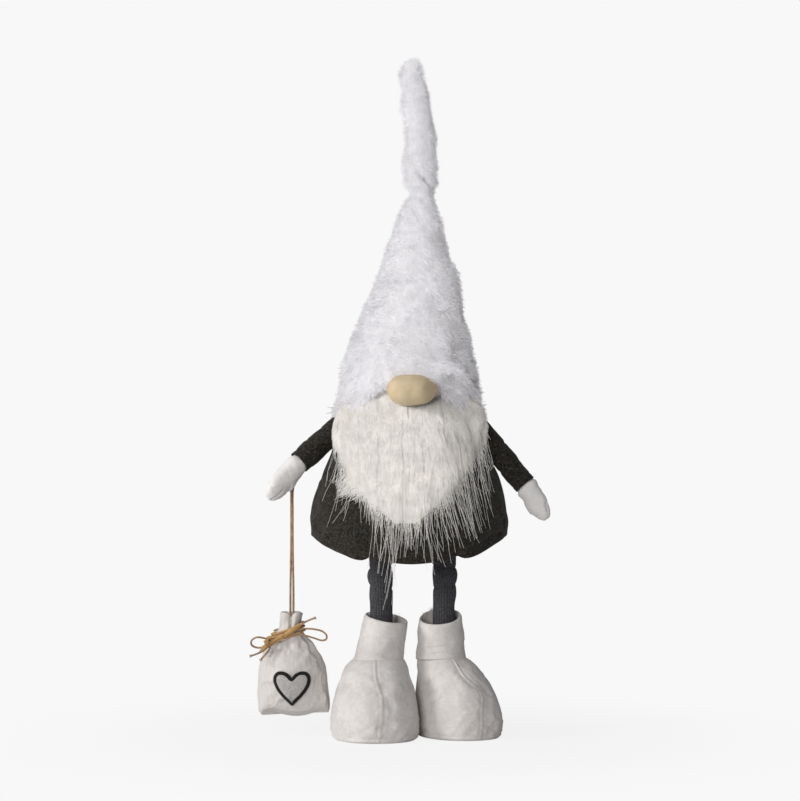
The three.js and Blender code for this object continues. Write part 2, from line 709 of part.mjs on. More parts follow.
// Bag, hung on doubled twine from the right mitten
const bagY = arms[0].wrist[1] + mittenDepth + bagBehindMitten;
const bag = new THREE.Group();
bag.position.set(bagX, bagY, 0);
figure.add(bag);

function bagSpace(grow, first = 0) {
  return loft(bagStations.slice(first).map(([z, w, d, x]) => {
    const squareness = z > bagNeckHeight ? 2 : 2.4;
    return levelRing(z, w + grow, Math.max(d + grow, 0.5), x, 0, 18, squareness);
  }));
}

const hollowRows = bagStations.slice(1, 7);
const bagHollow = (grow) => loft(hollowRows.map(([z, w, d, x], i) => {
  const raise = i === 0 ? bagFloorRise : 0;
  const room = i === 0 ? 0 : bagSeamRoom;
  return levelRing(z + raise, w - bagWall - grow - raise, d - bagWall - grow - room, x, 0, 18, 2.4);
}));
const bagTop = bagStations[bagStations.length - 1][0];
const bagMouth = disc(bagMouthRadius, hollowRows[4][0], bagTop + cutRoom, 12);
place('bag', cut(bagSpace(0), bagHollow(0), bagMouth), linen, bag);
place('bag_filling', bagHollow(gap + 0.1), stuffing, bag);

// Half width, half depth and shift of the bag at a height
function bagAt(height) {
  const next = Math.max(1, bagStations.findIndex(([z]) => z >= height));
  const [a, b] = [bagStations[next - 1], bagStations[next]];
  const share = (height - a[0]) / (b[0] - a[0]);
  return a.slice(1).map((value, i) => value + share * (b[i + 1] - value));
}

// Twine wound round the neck of the bag as one unbroken helix, tilted down towards the bow
function windingPoints() {
  const away = 2 * gap + twineRadius;
  return Array.from({ length: turnSteps * wrapTurns + 1 }, (_, i) => {
    const angle = Math.PI + (2 * Math.PI * i) / turnSteps;
    const z = wrapHeight + (wrapTilt / 2) * Math.cos(angle) + (wrapPitch * i) / turnSteps;
    const [half, depth, shift] = bagAt(z - twineRadius - gap);
    return new THREE.Vector3(shift + (half + away) * Math.cos(angle), (depth + away) * Math.sin(angle), z);
  });
}

// A tube of six sides over a row of points, each ring square to the row
function wound(points, radius) {
  return loft(points.map((at, i) => {
    const next = points[Math.min(i + 1, points.length - 1)];
    const along = next.clone().sub(points[Math.max(i - 1, 0)]).normalize();
    const side = new THREE.Vector3(at.x, at.y * 1.2, 0).normalize();
    const up = side.clone().cross(along).normalize();
    const out = along.clone().cross(up).normalize();
    return Array.from({ length: 6 }, (_, k) => {
      const angle = (Math.PI * k) / 3;
      const outwards = at.clone().addScaledVector(out, radius * Math.cos(angle));
      return outwards.addScaledVector(up, radius * Math.sin(angle));
    });
  }));
}

function leastGap(points, radius) {
  let least = Infinity;
  points.forEach((a, i) => points.slice(i + turnSteps / 2 + 1).forEach((b) => {
    least = Math.min(least, a.distanceTo(b) - 2 * radius);
  }));
  return least;
}
const windingRow = windingPoints();
console.log(`least gap of the winding to itself: ${leastGap(windingRow, twineRadius).toFixed(2)} mm`);
const windingRoom = wound(windingRow, twineRadius + gap + 0.1);
place('twine_wrap', cut(wound(windingRow, twineRadius), bagSpace(gap, 6)), jute, bag);

// Bow beside the bag: a knot low on the left of the neck, two loops and three tails
const knotSpace = (grow) => new THREE.SphereGeometry(1, 12, 8).scale(...knotHalf.map((h) => h + grow))
  .rotateY(THREE.MathUtils.degToRad(knotTurn)).translate(...knotAt);
const bagRoom = bagSpace(gap);
place('bow_knot', cut(knotSpace(0), bagRoom, windingRoom), jute, bag);
const bowPieces = [
  ['bow_loop_left', bowLoopLeft], ['bow_loop_right', bowLoopRight], ['bow_tail_upper', bowTailUpper],
  ['bow_tail_left', bowTailLeft], ['bow_tail_lower', bowTailLower],
];
const taken = [knotSpace(gap), windingRoom, bagRoom];
for (const [name, points] of bowPieces) {
  const steps = points.length * 2;
  place(name, cut(cord(points, steps), ...taken), jute, bag);
  taken.push(cord(points, steps, gap));
}

// Hanging twine: two strands, and the loop of the same twine behind the mitten
const strandTop = loopPivotZ - strandGap / 2;
const strandBottom = bagTop - twineEndDepth;
const strands = new THREE.Group();
strands.position.set(bagX, bagY, 0);
figure.add(strands);
for (const [name, side] of [['twine_strand_left', -1], ['twine_strand_right', 1]]) {
  const x = (side * twineSpread) / 2;
  const points = [[x, 0, strandTop], [x, 0, (strandTop + strandBottom) / 2], [x, 0, strandBottom]];
  place(name, cord(points, 16), jute, strands);
}

function loopPoints() {
  const half = twineSpread / 2;
  const start = loopPivotZ + strandGap / 2;
  const bend = loopPivotZ + loopBend;
  const bight = Array.from({ length: 13 }, (_, i) => {
    const angle = Math.PI * (1 - i / 12);
    return [half * loopWidening * Math.cos(angle), 0, loopPivotZ + loopHeight + loopBend * Math.sin(angle)];
  });
  return [[-half, 0, start], [-half, 0, bend], ...bight, [half, 0, bend], [half, 0, start]];
}
place('hand_loop', cord(loopPoints(), 20), jute, strands);

// Heart of felt on the front of the bag, on a larger heart of black felt
function heartPrism(border) {
  const half = heartWidth / 2 - border;
  const low = -heartHeight * 0.55 + border * 1.5;
  const high = heartHeight * 0.45 - border;
  const dip = high - heartHeight * 0.2;
  const [hip, waist, brow] = [low + heartHeight * 0.42, low + heartHeight * 0.22, high * 1.25];
  const depth = Math.max(...bagStations.map((station) => station[2])) * 2.4;
  const outline = new THREE.Shape();
  outline.moveTo(0, low);
  outline.bezierCurveTo(half * 0.35, waist, half, hip, half, high * 0.55);
  outline.bezierCurveTo(half, brow, half * 0.3, brow, 0, dip);
  outline.bezierCurveTo(-half * 0.3, brow, -half, brow, -half, high * 0.55);
  outline.bezierCurveTo(-half, hip, -half * 0.35, waist, 0, low);
  return new THREE.ExtrudeGeometry(outline, { depth, bevelEnabled: false, curveSegments: 7 })
    .rotateX(Math.PI / 2).translate(heartX, 0, heartZ);
}

function feltOn(border, under) {
  return cut(common(heartPrism(border), bagSpace(under + feltLayer)), bagSpace(under));
}
place('heart_backing', feltOn(0, gap), blackFelt, bag);
place('heart', feltOn(heartBorder, 2 * gap + feltLayer), greyFelt, bag);

// The figure stands on the middle of its own outline, without its twine
const twineNames = ['twine', 'bow', 'hand_loop'];
const bounds = new THREE.Box3();
figure.updateMatrixWorld(true);
figure.traverse((item) => {
  const isTwine = twineNames.some((start) => item.name.startsWith(start));
  if (item.isMesh && !isTwine) bounds.expandByObject(item, true);
});
const centre = bounds.getCenter(new THREE.Vector3());
figure.position.set(-centre.x, -centre.y, -bounds.min.z);

function shifted(point) {
  const metres = vector(point).add(figure.position).divideScalar(1000).toArray();
  return metres.map((value) => Number(value.toFixed(5)));
}
console.log(JSON.stringify({
  shift: figure.position.toArray(),
  size: bounds.getSize(new THREE.Vector3()).toArray(),
  hat_tip: shifted([tipPivotX, 0, tipPivotZ]),
  arms: arms.map((arm) => shifted(arm.shoulder)),
  legs: legs.map((leg) => shifted([leg.x, leg.y, knitBottom])),
  knit_top: shifted([0, 0, knitTop]),
  twine: shifted([bagX, bagY, loopPivotZ]),
  bag: shifted([bagX, bagY, strandBottom]),
}));

export default figure;
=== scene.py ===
import math

import bpy
import numpy as np
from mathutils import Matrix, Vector
from mathutils.kdtree import KDTree


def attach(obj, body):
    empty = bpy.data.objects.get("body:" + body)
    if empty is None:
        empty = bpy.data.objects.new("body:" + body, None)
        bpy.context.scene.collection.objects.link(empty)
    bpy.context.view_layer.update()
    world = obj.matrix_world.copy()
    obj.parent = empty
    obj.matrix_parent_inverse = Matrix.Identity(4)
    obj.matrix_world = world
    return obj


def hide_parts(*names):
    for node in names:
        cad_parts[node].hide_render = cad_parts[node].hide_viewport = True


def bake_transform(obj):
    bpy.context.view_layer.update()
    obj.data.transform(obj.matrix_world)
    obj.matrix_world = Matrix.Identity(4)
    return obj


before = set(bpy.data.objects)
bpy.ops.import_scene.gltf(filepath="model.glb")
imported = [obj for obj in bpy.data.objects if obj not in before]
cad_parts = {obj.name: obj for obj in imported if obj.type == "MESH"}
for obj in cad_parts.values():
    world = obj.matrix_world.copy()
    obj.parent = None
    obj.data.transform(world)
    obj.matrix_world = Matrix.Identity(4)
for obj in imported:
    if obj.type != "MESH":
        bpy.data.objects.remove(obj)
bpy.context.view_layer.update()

bl_info = {
    "name": "Tomte figure",
    "version": (1, 0, 0),
    "blender": (4, 5, 0),
    "location": "View3D > Sidebar > Tomte",
    "description": "Dresses the frame of a standing tomte in fur, felt, knit, linen and twine",
    "category": "Object",
}

# Shapes are worked out in millimetres about the figure's own axis
MM = 0.001
AXIS = np.array((3.98835, 3.66428, 0.0))
FRONT = -math.pi / 2
CLOTH_FRAMES, CLOTH_PRESSURE = 20, 4.0


# ---------------------------------------------------------------- small helpers
def linear(code):
    """A colour written as sRGB hex, as the linear values that Blender takes"""
    parts = [int(code[i:i + 2], 16) / 255 for i in (0, 2, 4)]
    return [v / 12.92 if v <= 0.04045 else ((v + 0.055) / 1.055) ** 2.4 for v in parts] + [1.0]


def metres(points):
    """Points in millimetres about the figure's axis, as metres in the row frame"""
    return (np.asarray(points, float) + AXIS) * MM


def curve_at(table, places):
    """Smooth values at some places, from a table whose first column is the place"""
    table = np.asarray(sorted(table), float)
    at, values = table[:, 0], table[:, 1:]
    x = np.clip(np.atleast_1d(places).astype(float), at[0], at[-1])
    i = np.clip(np.searchsorted(at, x) - 1, 0, len(at) - 2)
    slope = np.gradient(values, at, axis=0)
    step = (at[i + 1] - at[i])[:, None]
    t = (x - at[i])[:, None] / step
    low, high = values[i], values[i + 1]
    return ((2 * t**3 - 3 * t**2 + 1) * low + (t**3 - 2 * t**2 + t) * step * slope[i]
            + (3 * t**2 - 2 * t**3) * high + (t**3 - t**2) * step * slope[i + 1])


def waves(points, size, seed, count=9):
    """Smooth random values from about -1 to 1, whose bumps are about size across"""
    rng = np.random.default_rng(seed)
    ways = rng.normal(size=(count, 3))
    ways /= np.linalg.norm(ways, axis=1)[:, None]
    lengths = rng.uniform(0.7, 1.5, count)
    phases = rng.uniform(0, 2 * math.pi, count)
    turns = np.asarray(points, float) @ (ways * (2 * math.pi / (size * 2) / lengths[:, None])).T
    return np.sin(turns + phases).sum(axis=-1) / math.sqrt(count) * 0.9


def ease(x, low, high):
    """0 below low, 1 above high and smooth between them"""
    t = np.clip((np.asarray(x, float) - low) / (high - low), 0, 1)
    return t * t * (3 - 2 * t)


def bump(x, centre, width):
    """A single rounded bump of height 1"""
    return np.exp(-(((np.asarray(x, float) - centre) / width) ** 2))


def unit(vectors):
    """Vectors of length 1"""
    size = np.linalg.norm(vectors, axis=-1, keepdims=True)
    return vectors / np.maximum(size, 1e-9)


def rounded(angle, squareness):
    """Cosine and sine of a rounded ring; squareness 2 is an ellipse"""
    c, s = np.cos(angle), np.sin(angle)
    return (np.sign(c) * np.abs(c) ** (2 / squareness), np.sign(s) * np.abs(s) ** (2 / squareness))


def around(columns):
    """Angles evenly round a ring"""
    return np.arange(columns) * 2 * math.pi / columns


def quads(rows, columns, ring=False):
    """Faces over a grid of points, closed round the columns, and from the last row to the first for a ring"""
    faces = []
    for r in range(rows if ring else rows - 1):
        above = (r + 1) % rows * columns
        for c in range(columns):
            after = (c + 1) % columns
            faces.append((r * columns + c, r * columns + after, above + after, above + c))
    return faces


def skin(grid):
    """Points and faces over rows of points, with a lid over the first and the last row"""
    grid = np.asarray(grid, float)
    rows, columns = grid.shape[:2]
    faces = quads(rows, columns)
    for row, middle in ((0, rows * columns), (rows - 1, rows * columns + 1)):
        for c in range(columns):
            a, b = row * columns + c, row * columns + (c + 1) % columns
            faces.append((a, b, middle) if row else (b, a, middle))
    return np.vstack([grid.reshape(-1, 3), grid[0].mean(axis=0), grid[-1].mean(axis=0)]), faces


def linked(name, data):
    """A new object with that data, in the scene"""
    made = bpy.data.objects.new(name, data)
    bpy.context.scene.collection.objects.link(made)
    return made


def mesh_object(name, points, faces, material, edges=()):
    """A smooth-shaded mesh from points in millimetres"""
    mesh = bpy.data.meshes.new(name)
    points = metres(points)
    mesh.from_pydata(points.tolist(), list(edges), faces)
    mesh.update()
    if faces:
        mesh.polygons.foreach_set("use_smooth", [True] * len(mesh.polygons))
        face_outwards(mesh, points)
    if material:
        mesh.materials.append(material)
    return linked(name, mesh)


def face_outwards(mesh, points):
    """Turns the faces over if the form that they close is inside out"""
    mesh.calc_loop_triangles()
    a, b, c = (points - points.mean(axis=0))[np.array([t.vertices for t in mesh.loop_triangles])].transpose(1, 0, 2)
    if (a * np.cross(b, c)).sum() < 0:
        mesh.flip_normals()


def together(name, parts, material):
    """Several (points, faces) made into one mesh"""
    points, faces, count = [], [], 0
    for some, over in parts:
        points.append(np.asarray(some, float))
        faces += [tuple(i + count for i in face) for face in over]
        count += len(some)
    return mesh_object(name, np.vstack(points), faces, material)


def settle(piece):
    """The piece's modifiers made into its mesh, and taken off"""
    graph = bpy.context.evaluated_depsgraph_get()
    graph.update()
    made = bpy.data.meshes.new_from_object(piece.evaluated_get(graph), depsgraph=graph)
    old, name = piece.data, piece.data.name
    piece.modifiers.clear()
    piece.data = made
    bpy.data.meshes.remove(old)
    made.name = name
    return piece


def stuffed(points, faces, held, voxel, cap, slack):
    """How a sewn form gives when it is stuffed: cloth held at its seams and blown from inside.

    Gives a function from points in millimetres to how far each moves, never more than cap"""
    scene = bpy.context.scene
    piece = mesh_object("cloth_trial", points, faces, None)
    remesh = piece.modifiers.new("Remesh", "REMESH")
    remesh.mode, remesh.voxel_size = "VOXEL", voxel * MM
    settle(piece)
    before = read_points(piece)
    group = piece.vertex_groups.new(name="held")
    for i, weight in enumerate(held(before)):
        if weight > 0.01:
            group.add([i], float(min(weight, 1)), "REPLACE")
    cloth = piece.modifiers.new("Cloth", "CLOTH")
    cloth.settings.quality = 6
    cloth.settings.mass = 0.15
    cloth.settings.shrink_min = -slack
    cloth.settings.use_pressure = True
    cloth.settings.uniform_pressure_force = CLOTH_PRESSURE
    cloth.settings.vertex_group_mass = "held"
    cloth.settings.effector_weights.gravity = 0
    cloth.point_cache.frame_start, cloth.point_cache.frame_end = 1, CLOTH_FRAMES
    for moment in range(1, CLOTH_FRAMES + 1):
        scene.frame_set(moment)
    settle(piece)
    moved = read_points(piece) - before
    scene.frame_set(1)
    bpy.data.objects.remove(piece)
    moved *= np.minimum(1, cap / np.maximum(np.linalg.norm(moved, axis=1), 1e-6))[:, None]
    tree = KDTree(len(before))
    for i, point in enumerate(before):
        tree.insert(point, i)
    tree.balance()

    def give(where):
        flat = np.reshape(where, (-1, 3))
        given = np.zeros_like(flat)
        for i, point in enumerate(flat):
            near = tree.find_n(point, 5)
            weights = np.array([1 / (n[2] + 0.3) ** 2 for n in near])
            given[i] = weights @ moved[[n[1] for n in near]] / weights.sum()
        return given.reshape(np.shape(where))
    return give


def read_points(piece):
    """The piece's points in millimetres about the figure's axis"""
    flat = np.empty(len(piece.data.vertices) * 3, np.float32)
    piece.data.vertices.foreach_get("co", flat)
    return flat.reshape(-1, 3).astype(float) / MM - AXIS


def read_normals(piece):
    """Which way each of the piece's points faces"""
    return np.array([v.normal for v in piece.data.vertices])


def attribute(piece, name, values):
    """A named value on each point, for a node tree to read"""
    values = np.asarray(values, np.float32)
    kind = "FLOAT" if values.ndim == 1 else "FLOAT_VECTOR"
    made = piece.data.attributes.new(name, kind, "POINT")
    made.data.foreach_set("value" if values.ndim == 1 else "vector", values.ravel())


def dress(piece, body, slot, *nodes):
    """The piece rides on a body and stands for CAD nodes, which it hides. Its slot is not used"""
    if nodes:
        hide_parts(*nodes)
    if body:
        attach(piece, body)
    return piece


# ---------------------------------------------------------------- nodes
MATH, MIX, RAMP = "ShaderNodeMath", "ShaderNodeMix", "ShaderNodeValToRGB"
NOISE, WAVE, MAPPING = "ShaderNodeTexNoise", "ShaderNodeTexWave", "ShaderNodeMapping"
NAMED, RANDOM = "GeometryNodeInputNamedAttribute", "FunctionNodeRandomValue"


def socket(sockets, name):
    """The socket in use with that name, or at that place"""
    if isinstance(name, int):
        return sockets[name]
    return next(s for s in sockets if s.name == name and s.enabled)


def result(made):
    """A node's first output in use"""
    return next(s for s in made.outputs if s.enabled)


def node(tree, kind, inputs=None, stops=(), **settings):
    """Adds a node with its settings and colour stops, and its inputs as values, hex colours, sockets or nodes"""
    made = tree.nodes.new(kind)
    for name, value in settings.items():
        setattr(made, name, value)
    for index, (place, code) in enumerate(stops):
        elements = made.color_ramp.elements
        element = elements[index] if index < len(elements) else elements.new(1.0)
        element.position, element.color = place, linear(code)
    for name, value in (inputs or {}).items():
        target = socket(made.inputs, name)
        if isinstance(value, bpy.types.Node):
            value = result(value)
        if isinstance(value, bpy.types.NodeSocket):
            tree.links.new(value, target)
        else:
            target.default_value = linear(value) if target.type == "RGBA" and isinstance(value, str) else value
    return made


def bumps(size):
    """Scale of a noise whose bumps are that many millimetres across"""
    return 1 / (size * MM)


def bands(spacing):
    """Scale of a wave whose bands are that many millimetres apart"""
    return math.pi / 10 / (spacing * MM)


def cleared(block):
    """The emptied node tree of a material or a world"""
    block.use_nodes = True
    block.node_tree.nodes.clear()
    return block.node_tree


def new_material(name, roughness, sheen=0.0, specular=0.3):
    """A material with its shader and object coordinates ready"""
    material = bpy.data.materials.new(name)
    tree = cleared(material)
    shader = node(tree, "ShaderNodeBsdfPrincipled", {
        "Roughness": roughness, "Sheen Weight": sheen, "Sheen Roughness": 0.5, "Specular IOR Level": specular})
    node(tree, "ShaderNodeOutputMaterial", {"Surface": shader})
    return material, tree, shader, node(tree, "ShaderNodeTexCoord").outputs["Object"]


def blended(tree, first, much, second, rest):
    """Two patterns added, each by its share"""
    second = node(tree, MATH, {0: second, 1: rest}, operation="MULTIPLY")
    return node(tree, MATH, {0: first, 1: much, 2: second}, operation="MULTIPLY_ADD")


def dyed(tree, colour, where, most, dye):
    """The colour with a dye laid over it where a pattern says, at most by a share"""
    share = node(tree, MATH, {0: where, 1: most}, operation="MULTIPLY")
    return node(tree, MIX, {"Factor": share, "A": colour, "B": dye}, data_type="RGBA")


def finish(tree, shader, colour, height, strength, deep):
    """Ends a material: its colour, and its relief that is so many millimetres deep, onto the shader"""
    relief = node(tree, "ShaderNodeBump", {"Height": height, "Strength": strength, "Distance": deep * MM})
    tree.links.new(result(colour), shader.inputs["Base Color"])
    tree.links.new(result(relief), shader.inputs["Normal"])


# ---------------------------------------------------------------- materials
# Fibres and hairs are too fine to show at the size of the whole figure, so they are drawn as coarse as they need
# to show. The real size is given with each.
MADE = {}


def once(maker, *values):
    """The material that a maker gives, made the first time that it is asked for"""
    key = (maker.__name__, *values)
    if key not in MADE:
        MADE[key] = maker(*values)
    return MADE[key]


def fur_material(name, dark, light, streak=(1, 1, 0.12), tint=None):
    """Acrylic faux fur, woven and brushed: dull fibres that let light through, in locks 6.7 mm across.

    A fibre is 0.05 mm thick and its shade is drawn 0.7 mm wide. The eye sees soft streaks along the pile"""
    material, tree, shader, where = new_material(name, 0.75, 0.25, 0.2)
    lock = node(tree, NOISE, {"Vector": where, "Scale": bumps(6.667), "Detail": 3.0, "Roughness": 0.55})
    drawn = node(tree, MAPPING, {"Vector": where, "Scale": streak})
    fibre = node(tree, NOISE, {"Vector": drawn, "Scale": bumps(0.7143), "Roughness": 0.6})
    shade = blended(tree, fibre, 0.6, lock, 0.4)
    colour = node(tree, RAMP, {"Fac": shade}, ((0.3, dark), (0.62, light)))
    if tint:
        cloud = node(tree, NOISE, {"Vector": where, "Scale": bumps(45.45), "Roughness": 0.55})
        colour = dyed(tree, colour, cloud, 0.35, tint)
    finish(tree, shader, colour, fibre, 0.25, 0.4)
    glow = node(tree, "ShaderNodeBsdfTranslucent", {"Color": colour})
    both = node(tree, "ShaderNodeMixShader", {0: 0.5, 1: shader, 2: glow})
    output = next(n for n in tree.nodes if n.type == "OUTPUT_MATERIAL")
    tree.links.new(both.outputs[0], output.inputs["Surface"])
    return material


def melange_felt():
    """Milled wool felt of dyed fibres: dull, in grains of black, brown and green-grey wool 2 to 3 mm across.

    A wool hair is 0.03 mm thick and is drawn 0.4 mm wide. The eye sees a dark, mottled, slightly hairy cloth"""
    material, tree, shader, where = new_material("melange_felt", 0.95, 0.08, 0.1)
    grain = node(tree, NOISE, {
        "Vector": where, "Scale": bumps(1.923), "Detail": 4.0, "Roughness": 0.7, "Distortion": 0.4})
    colour = node(tree, RAMP, {"Fac": grain}, ((0.36, "0C0C0B"), (0.5, "22211F"), (0.64, "4C4943")))
    for size, warp, stops, dye in ((3.030, 0.0, ((0.46, "000000"), (0.6, "D0D0D0")), "34291F"),
                                   (2.439, 0.2, ((0.52, "000000"), (0.64, "C0C0C0")), "222823")):
        patch = node(tree, NOISE, {
            "Vector": where, "Scale": bumps(size), "Detail": 3.0, "Roughness": 0.6, "Distortion": warp})
        share = node(tree, RAMP, {"Fac": patch}, stops)
        colour = dyed(tree, colour, share, 1.0, dye)
    hairs = []
    for stretch, turn in (((1, 1, 0.16), (0.7, 0.4, 0)), ((0.16, 1, 1), (0.2, 0.9, 0.5))):
        drawn = node(tree, MAPPING, {"Vector": where, "Rotation": turn, "Scale": stretch})
        hairs.append(node(tree, NOISE, {"Vector": drawn, "Scale": bumps(0.4348)}))
    stray = node(tree, MATH, {0: hairs[0], 1: hairs[1]}, operation="MAXIMUM")
    stray = node(tree, RAMP, {"Fac": stray}, ((0.66, "000000"), (0.78, "FFFFFF")))
    colour = dyed(tree, colour, stray, 0.5, "77726B")
    height = node(tree, MATH, {0: grain, 1: hairs[0]}, operation="ADD")
    finish(tree, shader, colour, height, 0.5, 0.5)
    return material


def pale_felt(name, dark, light, warm):
    """Bleached wool felt, brushed: dull and soft, in clouds of 17 mm, matted patches of 4.3 mm and pills of 1.1 mm.

    A hair is 0.03 mm thick and is drawn 0.5 mm wide. The eye sees a warm white nap, a little uneven"""
    material, tree, shader, where = new_material(name, 0.95, 0.3, 0.15)
    cloud = node(tree, NOISE, {"Vector": where, "Scale": bumps(16.67), "Detail": 4.0, "Roughness": 0.6})
    patch = node(tree, NOISE, {
        "Vector": where, "Scale": bumps(4.348), "Detail": 3.0, "Roughness": 0.6, "Distortion": 0.6})
    pills = node(tree, NOISE, {
        "Vector": where, "Scale": bumps(1.111), "Detail": 4.0, "Roughness": 0.7, "Distortion": 0.5})
    grain = blended(tree, pills, 0.6, patch, 0.4)
    shade = blended(tree, grain, 0.6, cloud, 0.4)
    colour = node(tree, RAMP, {"Fac": shade}, ((0.39, dark), (0.6, light)))
    stain = node(tree, NOISE, {"Vector": where, "Scale": bumps(55.56), "Roughness": 0.55})
    colour = dyed(tree, colour, stain, 0.3, warm)
    drawn = node(tree, MAPPING, {"Vector": where, "Rotation": (0.3, 0.5, 0.9), "Scale": (0.2, 1, 1)})
    hairs = node(tree, NOISE, {"Vector": drawn, "Scale": bumps(0.5263)})
    height = node(tree, MATH, {0: grain, 1: hairs}, operation="ADD")
    finish(tree, shader, colour, height, 0.45, 0.5)
    return material


def rib_knit():
    """Cotton rib, knitted from two dark yarns: dull, flecked every 1.4 mm, in rows of stitches 1.5 mm high.

    The eye sees a dark grey stripe across each rib. The ribs themselves are modelled"""
    material, tree, shader, where = new_material("rib_knit", 0.9, 0.15, 0.15)
    fleck = node(tree, NOISE, {"Vector": where, "Scale": bumps(1.4286), "Detail": 3.0, "Roughness": 0.7})
    colour = node(tree, RAMP, {"Fac": fleck}, ((0.35, "323135"), (0.65, "58565A")))
    rows = node(tree, WAVE, {"Vector": where, "Scale": bands(1.496), "Distortion": 1.5, "Detail": 1.0},
                bands_direction="Z").outputs["Fac"]
    colour = dyed(tree, colour, rows, 0.3, "232226")
    height = node(tree, MATH, {0: rows, 1: fleck}, operation="ADD")
    finish(tree, shader, colour, height, 0.4, 0.4)
    return material


def linen_cloth():
    """Plain-woven linen, unbleached: dull, a thread each way with thicker slubs, and stained by handling.

    Its threads lie 0.5 mm apart, too fine to show, and are drawn 0.95 mm apart. The eye sees a fine grid"""
    material, tree, shader, where = new_material("bag_linen", 0.9, 0.15, 0.2)
    drawn = node(tree, MAPPING, {"Vector": where, "Scale": (1, 1, 0.1)})
    slub = node(tree, NOISE, {"Vector": drawn, "Scale": bumps(2.381), "Detail": 3.0, "Roughness": 0.55})
    weft, warp = (node(tree, WAVE, {"Vector": where, "Scale": bands(0.952), "Distortion": 0.6, "Detail": 1.0},
                       bands_direction=way).outputs["Fac"] for way in "ZX")
    weave = node(tree, MATH, {0: weft, 1: warp}, operation="ADD")
    shade = blended(tree, slub, 0.65, weave, 0.175)
    colour = node(tree, RAMP, {"Fac": shade}, ((0.3, "C8C3BE"), (0.7, "E2DEDA")))
    stain = node(tree, NOISE, {"Vector": where, "Scale": bumps(25), "Detail": 3.0, "Roughness": 0.55})
    colour = dyed(tree, colour, stain, 0.3, "D9D0C8")
    finish(tree, shader, colour, shade, 0.5, 0.3)
    return material


def jute_fibre(name, dark, middle, light):
    """Jute twine, spun and twisted: coarse bast fibres, a little glossy, browner and paler by turns of 6 mm.

    A fibre is 0.1 mm thick and is drawn 0.4 mm wide. The eye sees rough straw-brown strands"""
    material, tree, shader, where = new_material(name, 0.85, 0.1, 0.25)
    drawn = node(tree, MAPPING, {"Vector": where, "Scale": (1, 1, 0.2)})
    fibre = node(tree, NOISE, {
        "Vector": drawn, "Scale": bumps(0.3846), "Detail": 3.0, "Roughness": 0.7, "Distortion": 0.6})
    tone = node(tree, NOISE, {"Vector": where, "Scale": bumps(6.25), "Detail": 3.0, "Roughness": 0.55})
    shade = blended(tree, fibre, 0.6, tone, 0.4)
    colour = node(tree, RAMP, {"Fac": shade}, ((0.34, dark), (0.5, middle), (0.68, light)))
    finish(tree, shader, colour, fibre, 0.6, 0.3)
    return material


def small_felt(name, dark, light):
    """Craft felt, needled and die-cut: dull, with specks of fibre 1.2 mm across that the eye sees as a fine mottle"""
    material, tree, shader, where = new_material(name, 0.95, 0.2, 0.12)
    speck = node(tree, NOISE, {
        "Vector": where, "Scale": bumps(1.1765), "Detail": 4.0, "Roughness": 0.75, "Distortion": 0.6})
    colour = node(tree, RAMP, {"Fac": speck}, ((0.34, dark), (0.66, light)))
    finish(tree, shader, colour, speck, 0.6, 0.4)
    return material


def nose_jersey():
    """Cotton jersey, finely knitted and stretched over its filling: smooth, sand coloured, a little shaded.

    Its columns of loops lie 0.5 mm apart, too fine to show, and are drawn 0.75 mm apart as faint lines"""
    material, tree, shader, where = new_material("nose_jersey", 0.6, 0.1, 0.3)
    tone = node(tree, NOISE, {"Vector": where, "Scale": bumps(16.67), "Detail": 3.0, "Roughness": 0.55})
    colour = node(tree, RAMP, {"Fac": tone}, ((0.3, "C7B18B"), (0.7, "DAC8A6")))
    loops = node(tree, WAVE, {"Vector": where, "Scale": bands(0.748), "Distortion": 1.0, "Detail": 1.0},
                 bands_direction="X").outputs["Fac"]
    grain = node(tree, NOISE, {"Vector": where, "Scale": bumps(0.625), "Roughness": 0.55})
    colour = dyed(tree, colour, loops, 0.12, "B39D78")
    height = node(tree, MATH, {0: loops, 1: grain}, operation="ADD")
    finish(tree, shader, colour, height, 0.25, 0.2)
    return material


def grained(name, dark, light, roughness, size, metallic=0.0, strength=0.2):
    """A hidden piece's material, whose colour and relief vary in grains of that many millimetres"""
    material, tree, shader, where = new_material(name, roughness)
    shader.inputs["Metallic"].default_value = metallic
    grain = node(tree, NOISE, {"Vector": where, "Scale": bumps(size), "Detail": 4.0, "Roughness": 0.55})
    colour = node(tree, RAMP, {"Fac": grain}, ((0.3, dark), (0.7, light)))
    finish(tree, shader, colour, grain, strength, 0.2)
    return material


# ---------------------------------------------------------------- sizes and colours that a user sets
def length(name, description, default):
    """A length in metres"""
    return bpy.props.FloatProperty(name=name, description=description, default=default, unit="LENGTH", min=0.0)


def colour(name, description, code):
    """A colour"""
    return bpy.props.FloatVectorProperty(name=name, description=description, default=linear(code)[:3],
                                         subtype="COLOR", min=0.0, max=1.0)


class TomteSizes(bpy.types.PropertyGroup):
    """Sizes of the soft pieces"""
    pile_length: length("Hat pile", "Length of the hat's fur", 0.0062)
    pile_thickness: length("Hat fibre", "Thickness of a fibre of the hat's fur at its root", 0.00036)
    pile_count: bpy.props.IntProperty(name="Hat fibres", description="Fibres to the square centimetre of hat",
                                      default=118, min=1)
    beard_thickness: length("Beard fibre", "Thickness of a fibre of the beard at its root", 0.00029)
    beard_count: bpy.props.IntProperty(name="Beard fibres", description="Fibres in the beard", default=17600, min=100)
    rib_count: bpy.props.IntProperty(name="Leg ribs", description="Ribs round the knit of a leg", default=26, min=3)
    rib_depth: length("Rib depth", "How far a rib of the knit stands out", 0.0005)
    twine_diameter: length("Twine", "Diameter of the jute twine", 0.0022)
    felt_thickness: length("Felt", "Thickness of the felt of the heart", 0.0014)


class TomteColours(bpy.types.PropertyGroup):
    """Colours of the stage"""
    backdrop: colour("Backdrop", "Colour of the floor and backdrop as the camera sees them", "F8F8F8")


